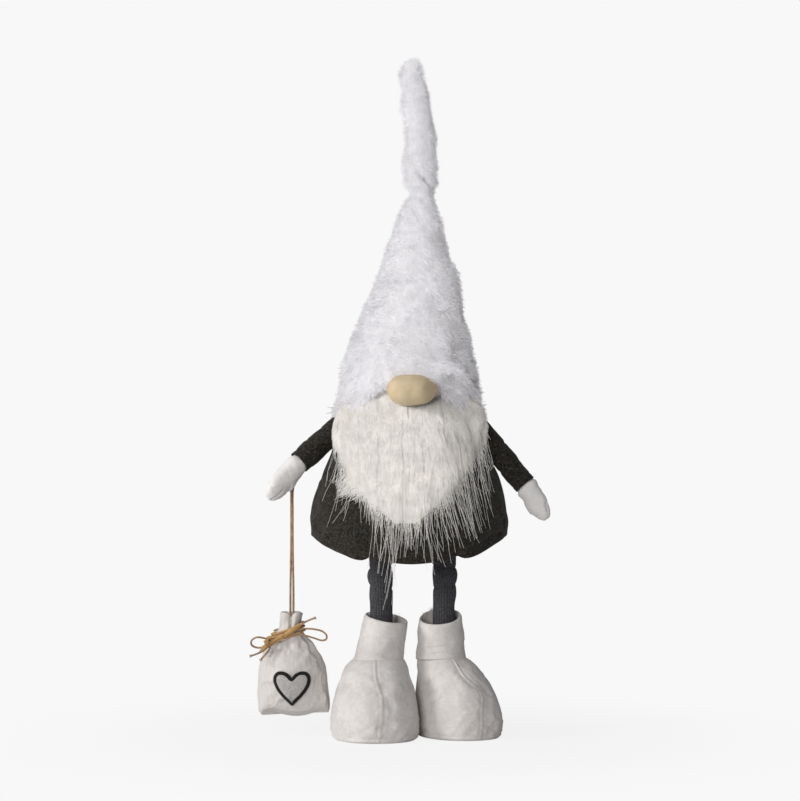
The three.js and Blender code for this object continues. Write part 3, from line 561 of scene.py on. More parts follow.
def sizes():
    """The sizes in use"""
    return bpy.context.scene.tomte_sizes


# ---------------------------------------------------------------- stage
CAMERA_AT, CAMERA_LENS = (-0.0039, -2.3963, 0.295), 122.6
# Lamps: place, width in metres, power in watts
LAMPS = {"key": ((-2.2, -0.95, 1.1), 0.8, 31), "front": ((-1.0, -2.3, 0.95), 1.3, 28)}
EVEN_LIGHT = 0.21
SHADOW_NEAR, SHADOW_FAR = 0.1, 0.42
FLOOR_CORNERS = ((-6, -5), (6, -5), (6, 6), (-6, 6))


def aim(thing, target):
    """Turns a lamp towards a point"""
    thing.rotation_euler = (Vector(target) - thing.location).to_track_quat("-Z", "Y").to_euler()


def lamp(name, place, size, power):
    """A soft square lamp, aimed at the figure's middle"""
    data = bpy.data.lights.new(name, "AREA")
    data.size, data.energy = size, power
    made = linked(name, data)
    made.location = place
    aim(made, (0, 0, 0.3))


class TomteStage(bpy.types.Operator):
    """Camera, lamps, world and floor"""
    bl_idname = "tomte.stage"
    bl_label = "Stage"

    def execute(self, context):
        scene = context.scene
        scene.view_settings.view_transform = "Standard"
        data = bpy.data.cameras.new("camera")
        data.lens, data.sensor_width, data.clip_end = CAMERA_LENS, 36.0, 60.0
        camera = scene.camera = linked("camera", data)
        camera.location = CAMERA_AT
        camera.rotation_euler = (math.pi / 2, 0, 0)

        for name, (place, size, power) in LAMPS.items():
            lamp(name, place, size, power)
        self.world(scene)
        self.floor(scene)
        return {"FINISHED"}

    def seen(self, tree):
        """1 where the camera looks, straight, in a reflection or through glass"""
        path = node(tree, "ShaderNodeLightPath").outputs
        seen = node(tree, MATH, {0: path["Is Camera Ray"], 1: path["Is Glossy Ray"]}, operation="MAXIMUM")
        return node(tree, MATH, {0: seen, 1: path["Is Transmission Ray"]}, operation="MAXIMUM")

    def world(self, scene):
        """A pale backdrop to the camera, and an even, weaker light to the object"""
        scene.world = bpy.data.worlds.new("studio")
        tree = cleared(scene.world)
        backdrop = [*scene.tomte_colours.backdrop, 1.0]
        even = node(tree, "ShaderNodeBackground", {"Color": "F4F4F8", "Strength": EVEN_LIGHT})
        pale = node(tree, "ShaderNodeBackground", {"Color": backdrop, "Strength": 1.0})
        both = node(tree, "ShaderNodeMixShader", {0: self.seen(tree), 1: even, 2: pale})
        node(tree, "ShaderNodeOutputWorld", {"Surface": both})

    def floor(self, scene):
        """Matt paper, calendered: pale, with a faint 1.1 mm mottle. It keeps the figure's shadow near it and melts
        into the backdrop further off"""
        material = bpy.data.materials.new("floor")
        tree = cleared(material)
        backdrop = [*scene.tomte_colours.backdrop, 1.0]
        where = node(tree, "ShaderNodeTexCoord").outputs["Object"]
        away = node(tree, "ShaderNodeVectorMath", {0: where}, operation="LENGTH").outputs["Value"]
        near = node(tree, "ShaderNodeMapRange", {
            "Value": away, "From Min": SHADOW_NEAR, "From Max": SHADOW_FAR, "To Min": 0.91, "To Max": 1.0},
            interpolation_type="SMOOTHSTEP")
        mottle = node(tree, NOISE, {"Vector": where, "Scale": bumps(1.111), "Detail": 3.0, "Roughness": 0.55})
        colour = node(tree, RAMP, {"Fac": mottle}, ((0.3, "EDEDED"), (0.7, "F6F6F6")))
        paper = node(tree, "ShaderNodeBsdfDiffuse", {"Color": colour})
        glow = node(tree, "ShaderNodeEmission", {"Color": backdrop})
        share = node(tree, MATH, {0: self.seen(tree), 1: near}, operation="MULTIPLY")
        both = node(tree, "ShaderNodeMixShader", {0: share, 1: paper, 2: glow})
        node(tree, "ShaderNodeOutputMaterial", {"Surface": both})
        mesh = bpy.data.meshes.new("floor")
        mesh.from_pydata([(x, y, 0) for x, y in FLOOR_CORNERS], [], [(0, 1, 2, 3)])
        mesh.materials.append(material)
        linked("floor", mesh)


# ---------------------------------------------------------------- twine
BAG_AT = np.array((-102.6, -9.5, 0.0))
TWINE_SPREAD = 2.6
TWINE_TOP = np.array((0.6, -0.9, 0.0))
LOOP_PIVOT = 213.0
BAG_MOUTH = 98.0

# Bag: height, half width, half depth, sideways shift
BAG = [(21, 28.6, 1.3, 2.8), (24, 30, 7, 2.2), (32, 30.4, 14, 1.6), (48, 30, 18, 0.8), (62, 28.2, 18.4, 0.2),
       (75, 25, 16.4, -1), (84, 20, 13.6, -1.6), (90, 13, 10.6, -1.6), (95, 10.4, 9, -1.4), (101, 10, 9, -1),
       (109, 10.6, 9.4, -0.4)]

BOW_LOOP_LEFT = [(-17.5, -14.6, 84.6), (-20.5, -16.2, 87), (-25, -17.6, 88.6), (-30, -18, 89), (-34.4, -17.4, 86.2),
                 (-34.6, -16.6, 82.6), (-31.6, -16.4, 80.4), (-27, -16, 79.8), (-22.5, -15, 80.8)]
BOW_LOOP_RIGHT = [(6, -9.9, 94.8), (9.4, -13, 95.9), (14, -15.5, 96.4), (20.6, -17, 95.9), (27.2, -18.2, 94.2),
                  (30.8, -18.8, 90.8), (30.6, -19, 87.6), (27.2, -19, 86.4), (20, -18.4, 88.4), (12.6, -16.6, 90.4),
                  (8.6, -13.2, 91.2), (6.4, -9.9, 91.6)]
BOW_TAILS = {
    "bow_tail_upper": [(6, -9.9, 98), (8.6, -12.6, 99.8), (12, -14.6, 102), (17, -15.6, 104.4), (21.6, -16, 106)],
    "bow_tail_left": [(-21.5, -16.4, 79.6), (-24.6, -18.8, 77.2), (-28, -19.8, 75.6), (-32, -20, 74),
                      (-36, -19.6, 72.8)],
    "bow_tail_lower": [(-18.4, -16, 80.6), (-19.6, -18.8, 77.6), (-22, -20.2, 74.6), (-24.6, -20.6, 71.8),
                       (-27, -20.4, 69)],
}
KNOT_STRAND = [(8.4, -12.2, 98.6), (4, -14.4, 96.2), (-2, -15.8, 92.8), (-8, -16.6, 89.2), (-15, -17.2, 85.2),
               (-21.5, -17.2, 81.2), (-26.4, -16.4, 77.6)]
KNOT_TURN = [(-17.8, -13.6, 81.6), (-20.4, -18.6, 81.0), (-22.4, -19.8, 83.6), (-21.4, -18.8, 86.8),
             (-18.6, -14, 86.4)]
STRANDS, STRAND_SIDES, TWIST = 3, 6, 5.0
BOW_THICKNESS = 0.86
# Cords whose CAD node has another name
CORD_NODES = {"winding": "twine_wrap"}


def route(points, step=0.7):
    """Evenly spaced points, in millimetres, on the smooth curve through a few"""
    points = np.asarray(points, float)
    padded = np.vstack([2 * points[0] - points[1], points, 2 * points[-1] - points[-2]])
    fine = []
    for p0, p1, p2, p3 in zip(padded, padded[1:], padded[2:], padded[3:]):
        t1 = np.linalg.norm(p1 - p0) ** 0.5
        t2 = t1 + np.linalg.norm(p2 - p1) ** 0.5
        t3 = t2 + np.linalg.norm(p3 - p2) ** 0.5
        t = np.linspace(t1, t2, 24, endpoint=False)[:, None]

        def between(p, q, start, end):
            return (end - t) / (end - start) * p + (t - start) / (end - start) * q
        a1, a2, a3 = between(p0, p1, 0.0, t1), between(p1, p2, t1, t2), between(p2, p3, t2, t3)
        fine.append(between(between(a1, a2, 0.0, t2), between(a2, a3, t1, t3), t1, t2))
    fine = np.vstack(fine + [points[-1:]])
    along = np.r_[0, np.cumsum(np.linalg.norm(np.diff(fine, axis=0), axis=1))]
    even = np.linspace(0, along[-1], max(int(along[-1] / step), 2) + 1)
    return np.stack([np.interp(even, along, fine[:, k]) for k in range(3)], axis=1)


def frames(path):
    """Two square directions at each point of a path, carried along it without a twist"""
    along = unit(np.gradient(path, axis=0))
    side = np.cross(along[0], (0.3, 0.9, 0.2))
    sides = []
    for way in along:
        side = side - way * (side @ way)
        side = side / np.linalg.norm(side)
        sides.append(side)
    sides = np.array(sides)
    return sides, np.cross(along, sides)


def plies(path, diameter, seed, fray=0.0):
    """Strands laid round each other along a path, as (points, faces) parts"""
    a, b = frames(path)
    along = np.r_[0, np.cumsum(np.linalg.norm(np.diff(path, axis=0), axis=1))]
    swell = 1 + 0.1 * waves(path, 3.5, seed)
    parts = []
    for k in range(STRANDS):
        turn = 2 * math.pi * (along / TWIST + k / STRANDS)
        spread = diameter * 0.23 * (1 + fray * ease(along, along[-1] - 3, along[-1]) * 1.4)
        middle = path + (a * np.cos(turn)[:, None] + b * np.sin(turn)[:, None]) * np.reshape(spread, (-1, 1))
        radius = diameter * 0.265 * swell
        angles = around(STRAND_SIDES)[:, None]
        ring = a[:, None] * np.cos(angles) + b[:, None] * np.sin(angles)
        parts.append(skin(middle[:, None] + ring * radius[:, None, None]))
    return parts


def limp_cord(name, parts, material, body):
    """A piece of twine along a path, in millimetres, that rides on a body in place of its CAD node"""
    piece = together(f"jute_{name}", parts, material)
    dress(piece, body, "jute", CORD_NODES.get(name, name))


def winding_path():
    """Three turns of twine round the neck of the bag, lower on the side of the bow"""
    radius, turns, steps, room = 1.1, 3, 24, 0.3
    rows = []
    for i in range(turns * steps + 1):
        angle = math.pi + 2 * math.pi * i / steps
        z = 88.5 + 4.5 * math.cos(angle) + 3.1 * i / steps
        half, depth, shift = bag_station(z - radius - room)
        away = radius + 2 * room
        rows.append((shift + (half + away) * math.cos(angle), (depth + away) * math.sin(angle), z))
    return np.array(rows) + BAG_AT


def bag_station(z):
    """Half width, half depth and shift of the bag at a height, straight between its stations"""
    table = np.array(BAG)
    return [float(np.interp(z, table[:, 0], table[:, k])) for k in (1, 2, 3)]


class TomteTwine(bpy.types.Operator):
    """Hanging strands, the loop behind the hand, the winding, knot and bow"""
    bl_idname = "tomte.twine"
    bl_label = "Twine"

    def execute(self, context):
        brown = jute_fibre("twine_brown", "6F553B", "A58564", "CDB394")
        tan = jute_fibre("twine_tan", "8A6338", "C39A62", "E3C48E")
        diameter = sizes().twine_diameter / MM
        for name, side in (("twine_strand_left", -1), ("twine_strand_right", 1)):
            x = side * TWINE_SPREAD / 2
            path = route(np.array([(x, 0, BAG_MOUTH), (x, 0, 128), TWINE_TOP * side * 1.2 + (0, 0, 168),
                                   TWINE_TOP * side + (0, 0, LOOP_PIVOT - 0.02)]) + BAG_AT)
            limp_cord(name, plies(path, diameter, side + 5), brown, "hanging_twine")
        self.hand_loop(brown, diameter)
        self.winding(tan, diameter)
        for name, points, seed in (("bow_loop_left", BOW_LOOP_LEFT, 3), ("bow_loop_right", BOW_LOOP_RIGHT, 4)):
            path = route(np.array(points) + BAG_AT)
            strands = plies(path, diameter * BOW_THICKNESS, seed)
            limp_cord(name, strands, brown, "hanging_bag")
        for seed, (name, points) in enumerate(BOW_TAILS.items(), 20):
            path = route(np.array(points) + BAG_AT)
            piece = together(f"jute_{name}", plies(path, diameter * BOW_THICKNESS, seed, 1.0), brown)
            dress(piece, "hanging_bag", "jute", name)
        return {"FINISHED"}

    def hand_loop(self, material, diameter):
        """The bend of the twine over the hidden hook behind the mitten"""
        half = TWINE_SPREAD / 2
        bend = [(half * 2.2 * math.cos(a), 0, LOOP_PIVOT + 14 + 3 * math.sin(a))
                for a in np.linspace(math.pi, 0, 13)]
        ends = [tuple(TWINE_TOP * side + (0, 0, LOOP_PIVOT + 0.02)) for side in (-1, 1)]
        points = [ends[0], (-half, 0, LOOP_PIVOT + 6), *bend, (half, 0, LOOP_PIVOT + 6), ends[1]]
        path = route(np.array(points) + BAG_AT)
        limp_cord("hand_loop", plies(path, diameter, 9), material, "twine_loop")

    def winding(self, material, diameter):
        """The turns round the neck, and the knot that gathers them beside it"""
        path = route(winding_path(), 0.8)
        limp_cord("winding", plies(path, diameter, 2), material, "hanging_bag")
        parts = []
        for k in range(7):
            over = (k - 3) * 0.95
            loose = 0.5 * math.sin(k * 2.4)
            strand = KNOT_STRAND + BAG_AT + (over * 0.5, -0.5 * abs(k - 3) % 1.1, over * 0.86)
            strand[:, 2] += [loose * math.sin(i * 1.3 + k) for i in range(len(strand))]
            parts += plies(route(strand), diameter * 0.72, 30 + k, 0.8)
        for k, shift in enumerate((0, 1.7)):
            parts += plies(route(KNOT_TURN + BAG_AT + (shift, 0, shift * 0.6)), diameter * 0.8, 40 + k)
        knot = together("jute_knot", parts, material)
        dress(knot, "hanging_bag", "jute", "bow_knot")


# ---------------------------------------------------------------- fur
def new_tree(name, inputs):
    """A node tree from a mesh to a mesh: gives it and its group inputs, the named ones and its material"""
    tree = bpy.data.node_groups.new(name, "GeometryNodeTree")
    face = tree.interface
    face.new_socket(name="Geometry", in_out="INPUT", socket_type="NodeSocketGeometry")
    for title, value in inputs.items():
        kind = "NodeSocketInt" if isinstance(value, int) else "NodeSocketFloat"
        face.new_socket(name=title, in_out="INPUT", socket_type=kind).default_value = value
    face.new_socket(name="Material", in_out="INPUT", socket_type="NodeSocketMaterial")
    face.new_socket(name="Geometry", in_out="OUTPUT", socket_type="NodeSocketGeometry")
    return tree, node(tree, "NodeGroupInput").outputs


def end_tree(tree, geometry, material):
    """Ends a tree: copies made real, smooth shading and the material"""
    whole = node(tree, "GeometryNodeRealizeInstances", {"Geometry": geometry})
    smooth = node(tree, "GeometryNodeSetShadeSmooth", {"Geometry": whole})
    done = node(tree, "GeometryNodeSetMaterial", {"Geometry": smooth, "Material": material})
    node(tree, "NodeGroupOutput", {"Geometry": done})
    return tree


def fur_tree():
    """Node tree: short bent fibres on a surface, along the lay that its points carry"""
    tree, given = new_tree("Fur", {
        "Fibres per square metre": 1e6, "Length": 0.007, "Thickness": 0.0004, "Bend": 0.35, "Tousle": 0.35,
        "Points": 3, "Seed": 1})

    end = node(tree, "ShaderNodeCombineXYZ", {"Z": given["Length"]})
    line = node(tree, "GeometryNodeCurvePrimitiveLine", {"Start": (0, 0, 0), "End": end})
    line = node(tree, "GeometryNodeResampleCurve", {"Curve": line, "Count": given["Points"]})
    part = node(tree, "GeometryNodeSplineParameter").outputs["Factor"]
    lean = node(tree, MATH, {0: part, 1: 2.0}, operation="POWER")
    reach = node(tree, MATH, {0: given["Bend"], 1: given["Length"]}, operation="MULTIPLY")
    lean = node(tree, MATH, {0: lean, 1: reach}, operation="MULTIPLY")
    lean = node(tree, "ShaderNodeCombineXYZ", {"X": lean})
    line = node(tree, "GeometryNodeSetPosition", {"Geometry": line, "Offset": lean})
    thin = node(tree, MATH, {0: part, 1: 1.6}, operation="POWER")
    thin = node(tree, MATH, {0: thin, 1: -0.8, 2: 1.0}, operation="MULTIPLY_ADD")
    line = node(tree, "GeometryNodeSetCurveRadius", {"Curve": line, "Radius": thin})
    half = node(tree, MATH, {0: given["Thickness"], 1: 0.5}, operation="MULTIPLY")
    ring = node(tree, "GeometryNodeCurvePrimitiveCircle", {"Resolution": 3, "Radius": half})
    fibre = node(tree, "GeometryNodeCurveToMesh", {"Curve": line, "Profile Curve": ring})

    density = node(tree, NAMED, {"Name": "density"}, data_type="FLOAT")
    wanted = node(tree, MATH, {0: given["Fibres per square metre"], 1: density}, operation="MULTIPLY")
    roots = node(tree, "GeometryNodeDistributePointsOnFaces", {
        "Mesh": given["Geometry"], "Density": wanted, "Seed": given["Seed"]}, distribute_method="RANDOM")
    lay = node(tree, NAMED, {"Name": "lay"}, data_type="FLOAT_VECTOR")
    stray = node(tree, RANDOM, {"Min": (-1, -1, -1), "Max": (1, 1, 1), "Seed": 3}, data_type="FLOAT_VECTOR")
    stray = node(tree, "ShaderNodeVectorMath", {0: stray, "Scale": given["Tousle"]}, operation="SCALE")
    way = node(tree, "ShaderNodeVectorMath", {0: lay, 1: stray}, operation="ADD")
    turned = node(tree, "FunctionNodeAlignRotationToVector", {"Vector": way}, axis="Z")
    spin = node(tree, RANDOM, {"Min": -math.pi, "Max": math.pi, "Seed": 5}, data_type="FLOAT")
    spin = node(tree, "FunctionNodeAxisAngleToRotation", {"Axis": (0, 0, 1), "Angle": spin})
    turned = node(tree, "FunctionNodeRotateRotation", {"Rotation": turned, "Rotate By": spin}, rotation_space="LOCAL")
    share = node(tree, NAMED, {"Name": "share"}, data_type="FLOAT")
    varied = node(tree, RANDOM, {"Min": 0.55, "Max": 1.1, "Seed": 7}, data_type="FLOAT")
    size = node(tree, MATH, {0: share, 1: varied}, operation="MULTIPLY")
    planted = node(tree, "GeometryNodeInstanceOnPoints", {
        "Points": roots, "Instance": fibre, "Rotation": turned, "Scale": size})
    return end_tree(tree, planted, given["Material"])


def tube_tree():
    """Node tree: thin three-sided tubes along the edges of a mesh, as thick as its points say"""
    tree, given = new_tree("Long fibres", {"Thickness": 0.0004, "Sides": 3})
    lines = node(tree, "GeometryNodeMeshToCurve", {"Mesh": given["Geometry"]})
    taper = node(tree, NAMED, {"Name": "taper"}, data_type="FLOAT")
    lines = node(tree, "GeometryNodeSetCurveRadius", {"Curve": lines, "Radius": taper})
    half = node(tree, MATH, {0: given["Thickness"], 1: 0.5}, operation="MULTIPLY")
    ring = node(tree, "GeometryNodeCurvePrimitiveCircle", {"Resolution": given["Sides"], "Radius": half})
    tubes = node(tree, "GeometryNodeCurveToMesh", {"Curve": lines, "Profile Curve": ring})
    return end_tree(tree, tubes, given["Material"])


def apply_tree(piece, tree, **inputs):
    """Runs a node tree on the piece, with its inputs set by name, and keeps the mesh that it makes"""
    modifier = piece.modifiers.new(tree.name, "NODES")
    modifier.node_group = tree
    for item in tree.interface.items_tree:
        if item.in_out == "INPUT" and item.name in inputs:
            modifier[item.identifier] = inputs[item.name]
    return settle(piece)


def tree_named(maker, name):
    """A node tree, made once"""
    return bpy.data.node_groups.get(name) or maker()


def sheer(fibres):
    """Light passes between fine pale fibres, so they cast no shadow of their own; the cloth under them does"""
    fibres.visible_shadow = False
    return fibres


def grow_fur(name, base, material, mask, lay, share, per_cm2, seed, **inputs):
    """Fur on a copy of a base piece: where it grows, which way it lies and how long it is"""
    coat = base.copy()
    coat.data = base.data.copy()
    coat.name = coat.data.name = name
    bpy.context.scene.collection.objects.link(coat)
    attribute(coat, "density", mask)
    attribute(coat, "lay", lay)
    attribute(coat, "share", share)
    settings = {"Fibres per square metre": float(per_cm2) * 1e4, "Seed": seed, "Material": material, **inputs}
    return apply_tree(coat, tree_named(fur_tree, "Fur"), **settings)


# ---------------------------------------------------------------- hat
# Outline of the fur in front view: height, middle, half width
HAT = [(284.5, -1, 63), (295.4, -1, 62.9), (313, -0.5, 60.5), (330.6, -0.4, 56.8), (348.2, 1.6, 51.8),
       (365.8, 3.1, 46.6), (383.4, 4.9, 41.6), (401, 6.3, 35.8), (418.6, 6.3, 29.8), (436.2, 6.8, 24.2),
       (453.8, 8, 19), (464, 9, 15.8), (471, 10, 13.1), (475.5, 11.2, 10.9), (479.5, 12, 12),
       (484, 11.2, 13.4), (489, 10.2, 14.4), (497.8, 10, 15.9), (506.6, 9.6, 15.6), (515.4, 10, 15.2),
       (524.2, 10.5, 14.3), (533, 10, 13.7), (541.8, 8.6, 13.2), (550.6, 6.6, 13.2), (559.4, 5.6, 12.9),
       (568.2, 4.8, 12), (577, 3.2, 11.2), (585, 2.6, 10), (590, 3.2, 8.4), (593, 4, 5.6), (594.2, 4.6, 1.6)]
# Folds of the tip's cloth over the cone: -1 in front or 1 behind, then each end's place across and height
FOLDS = ((-1, (6.5, 497.5), (25, 479.5)), (1, (22, 497), (-4, 478)))
HAT_BODY_TOP, HAT_TIP_START = 470.0, 502.0
BRIM, CONE_TOP, BRIM_RISE = 284.5, 466, 27
HAT_COLUMNS = 112
FUR_ROOM = 3.4
# The cloth rolled in at the brim: how far inwards and how high
ROLL = ((10.5, 22), (10, 12), (9.2, 5), (7.4, 1.4), (4.6, -0.7), (1.6, -0.6))
# The pile in pieces: name, from and to a height. Most of its fibres cast no shadow; the rest are a piece of their own
HAT_BANDS = (("hat_pile_brim", 0, 306), ("hat_pile_low", 306, 336), ("hat_pile_middle", 336, 374),
             ("hat_pile_upper", 374, 436), ("hat_pile_tip", 436, 600))
SHEER_SHARE, SHADOW_SHARE = 0.94, 0.06


def hat_depth(z):
    """Depth of the hat as a share of its width"""
    return 0.9 + 0.06 * ease(z, 440, 480)


def hat_surface():
    """The cloth under the hat's fur, from the brim up to the tip"""
    angle = around(HAT_COLUMNS)
    heights = np.r_[np.linspace(BRIM, CONE_TOP, 60), np.linspace(CONE_TOP, 592.5, 88)[1:], (593.6, 594.1, 594.2)]
    middle, half = curve_at(HAT, heights).T
    half = np.maximum(half - FUR_ROOM * ease(half, 1.5, 8) * (1 - 0.4 * ease(heights, 440, 480)), 0.8)
    front = np.maximum(0, -np.sin(angle))
    grid = np.zeros((len(heights), HAT_COLUMNS, 3))
    near_brim = np.maximum(0, 1 - (heights - BRIM) / 70)
    grid[..., 0] = middle[:, None] + half[:, None] * np.cos(angle)
    grid[..., 1] = (half * hat_depth(heights))[:, None] * np.sin(angle)
    grid[..., 2] = heights[:, None] + near_brim[:, None] * (3 + BRIM_RISE * front**4)
    out = unit(np.stack([np.cos(angle), np.sin(angle), np.zeros(HAT_COLUMNS)], -1))[None]
    soft = ease(heights, 286, 300)[:, None] * (1 - 0.55 * ease(heights, 440, 500))[:, None]
    swell = 0.9 * waves(grid, 38, 11) * soft + 0.35 * waves(grid, 14, 12) * soft
    for fold in FOLDS:
        over, on = fold_place(grid, fold)
        swell += (-4.6 * bump(over, -1.0, 1.7) + 2.0 * bump(over, 3.4, 3.6)) * on
    grid += out * swell[..., None]
    return grid


def fold_place(points, fold):
    """How far points lie above a fold, and how much they belong to it"""
    side, (ax, az), (bx, bz) = fold
    x, y, z = points[..., 0], points[..., 1], points[..., 2]
    reach = math.hypot(bx - ax, bz - az)
    wayx, wayz = (bx - ax) / reach, (bz - az) / reach
    place = (x - ax) * wayx + (z - az) * wayz
    over = ((z - az) * wayx - (x - ax) * wayz) * (1 if wayx > 0 else -1)
    on = ease(place, -6, 2) * (1 - ease(place, reach + 2, reach + 8)) * ease(side * y, -4, 2)
    return over, on


class TomteHat(bpy.types.Operator):
    """The tall fur hat, with its raised brim and folded tip"""
    bl_idname = "tomte.hat"
    bl_label = "Hat"

    def execute(self, context):
        fur = fur_material("hat_fur", "DEDDE0", "F8F7F8")
        grid = hat_surface()
        outward = unit((grid[0] - grid[0].mean(axis=0)) * (1, 1, 0))
        rolled = [grid[0] - outward * inset + (0, 0, rise) for inset, rise in ROLL]
        whole = np.concatenate([np.array(rolled), grid])
        base = mesh_object("hat_cloth", *skin(whole), fur)
        points, normals = read_points(base), read_normals(base)
        z = points[:, 2]

        down = np.array((0.0, 0.0, -1.0)) + normals * normals[:, 2:3]
        swirl = np.stack([waves(points, 16, s) for s in (21, 22, 23)], -1)
        right = ease(points[:, 0] - 5, -10, 35)[:, None]
        lay = unit(normals * (0.62 + 0.25 * right) + unit(down) * 0.75 + swirl * (0.2 + 0.4 * right))
        edge = 1 - ease(z - BRIM_RISE * np.maximum(0, -normals[:, 1]) ** 4, 286, 297)
        wide = edge * ease(np.abs(points[:, 0] + 1), 38, 60)
        lay = unit(lay + (normals * 0.5 + np.array((0, 0, -0.5))) * edge[:, None] + normals * 0.7 * wide[:, None])
        up = ease(z, 572, 592)[:, None]
        lay = unit(lay * (1 - up) + (normals * 0.4 + np.array((0, 0, 1.0))) * up)
        mask = np.ones(len(points))
        mask[:HAT_COLUMNS * 3] = mask[-2:] = 0
        for fold in FOLDS:
            over, on = fold_place(points, fold)
            mask *= 1 - 0.92 * bump(over, -1.0, 1.8) * on
        over_nose = edge * bump(points[:, 0], 3, 20) * ease(-normals[:, 1], 0.4, 0.8)
        lay = unit(lay + normals * (0.9 * over_nose)[:, None])
        share = 0.8 + 0.16 * waves(points, 12, 31) + 0.4 * edge + 0.7 * over_nose + 0.75 * wide
        share += 0.18 * right[:, 0] * (1 - ease(z, 480, 520))
        share *= 1 - 0.25 * ease(z, 440, 500)
        tufts = ease(points[:, 0], 16, 36) * (1 - ease(z, 318, 345)) * ease(-normals[:, 1], -0.2, 0.3)
        clump = waves(points, 6.5, 33)
        share += 0.4 * clump * tufts
        mask *= 1 - 0.75 * tufts * ease(-clump, 0.35, 0.9)
        stray = np.stack([waves(points, 8, s) for s in (34, 35, 36)], -1)
        lay = unit(lay + (stray * 0.55 + normals * 0.3) * tufts[:, None])
        dress(base, None, "white_fur", "hat", "hat_tip")
        inputs = {"Length": sizes().pile_length, "Thickness": sizes().pile_thickness, "Tousle": 0.36, "Bend": 0.4}
        count = sizes().pile_count
        share = np.clip(share, 0.3, 2.2)
        for seed, (name, low, high) in enumerate(HAT_BANDS, 1):
            on = mask * (ease(z, low - 0.6, low + 0.6) if low else 1) * (1 - ease(z, high - 0.6, high + 0.6))
            pile = sheer(grow_fur(name, base, fur, on, lay, share, count * SHEER_SHARE, seed, **inputs))
            self.ride(pile, high)
        under = grow_fur("hat_pile_under", base, fur, mask, lay, share * 0.8, count * SHADOW_SHARE, 11, **inputs)
        self.ride(under, HAT_BANDS[-1][2])
        self.ride(base, HAT_BANDS[-1][2])
        return {"FINISHED"}

    def ride(self, piece, high):
        """A piece that ends below the fold follows the body; one that crosses it stays in place, its transform
        applied
        """
        if high <= HAT_BODY_TOP:
            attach(piece, "torso")
            return
        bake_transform(piece)


# ---------------------------------------------------------------- nose
NOSE_AT, NOSE_HALF = (3, -56.25, 304), (21.2, 12.4, 13.2)


class TomteNose(bpy.types.Operator):
    """The padded nose, tucked in at both ends"""
    bl_idname = "tomte.nose"
    bl_label = "Nose"

    def execute(self, context):
        columns, rows = 96, 64
        turn = np.linspace(0.03, math.pi - 0.03, rows)[:, None]
        angle = around(columns)[None]
        ball = np.stack([np.cos(turn) + 0 * angle, np.sin(turn) * np.cos(angle), np.sin(turn) * np.sin(angle)], -1)
        x = ball[..., 0]
        fuller = np.maximum(1 - np.abs(x) ** 2.5, 0) ** 0.4 / np.maximum(1 - x**2, 1e-5) ** 0.5
        ball[..., 1:] *= (np.clip(fuller, 0.8, 2.0) * (1 - 0.08 * x))[..., None]
        grid = ball * NOSE_HALF
        tuck = np.abs(np.sin(angle * 3.5 + 0.6)) ** 3 * (bump(x, 1, 0.22) + 0.3 * bump(x, -1, 0.15))
        grid[..., 1:] *= (1 - 0.3 * tuck)[..., None]
        grid += unit(ball) * (0.35 * waves(grid, 9, 41) + 0.12 * waves(grid, 3, 42))[..., None]
        grid[..., 1] += 5.5 * ease(x, 0.3, 1.0) ** 1.4
        grid += NOSE_AT
        nose = mesh_object("nose_pad", *skin(grid), nose_jersey())
        dress(nose, "torso", "jersey", "nose")
        return {"FINISHED"}


# ---------------------------------------------------------------- coat
COAT = [(157, 85.4), (180, 86.7), (206, 84), (225, 79), (247, 68.5), (269, 61), (286, 51), (301, 38), (309, 20)]
COAT_DEPTH = 0.82
HEM, NECK = 157, 300
COAT_FOLDS = (-34.5, 42)


def coat_half(z):
    """Half width of the coat at a height"""
    return curve_at(COAT, z)[:, 0]


def coat_front(x, z):
    """How far forward the beard's back lies: on the coat's front, and off its sides by half the coat's depth"""
    half = coat_half(np.clip(z, HEM, NECK))
    return -COAT_DEPTH * np.sqrt(np.maximum(half**2 - np.asarray(x) ** 2, (0.5 * half) ** 2))


def hem_rise(x, y, z):
    """How far the cloth is lifted near the hem: towards the side seams, and at the folds over the legs"""
    near = np.clip(1 - (z - HEM) / 40, 0, 1)
    side = 20 * np.clip(np.abs(x) / 85.4, 0, 1.05) ** 3
    front = ease(-y, 0, 30)
    fold = 3.2 * (bump(x, COAT_FOLDS[0], 3.0) + bump(x, COAT_FOLDS[1], 3.5)) * front
    sag = -1.2 * (bump(x, -46, 8) + bump(x, 2, 16) * 1.2 + bump(x, 54, 9)) * front
    back = 2.0 * (bump(x, -30, 6) + bump(x, 20, 7)) * ease(y, 0, 30)
    return (side + fold + sag + back) * near


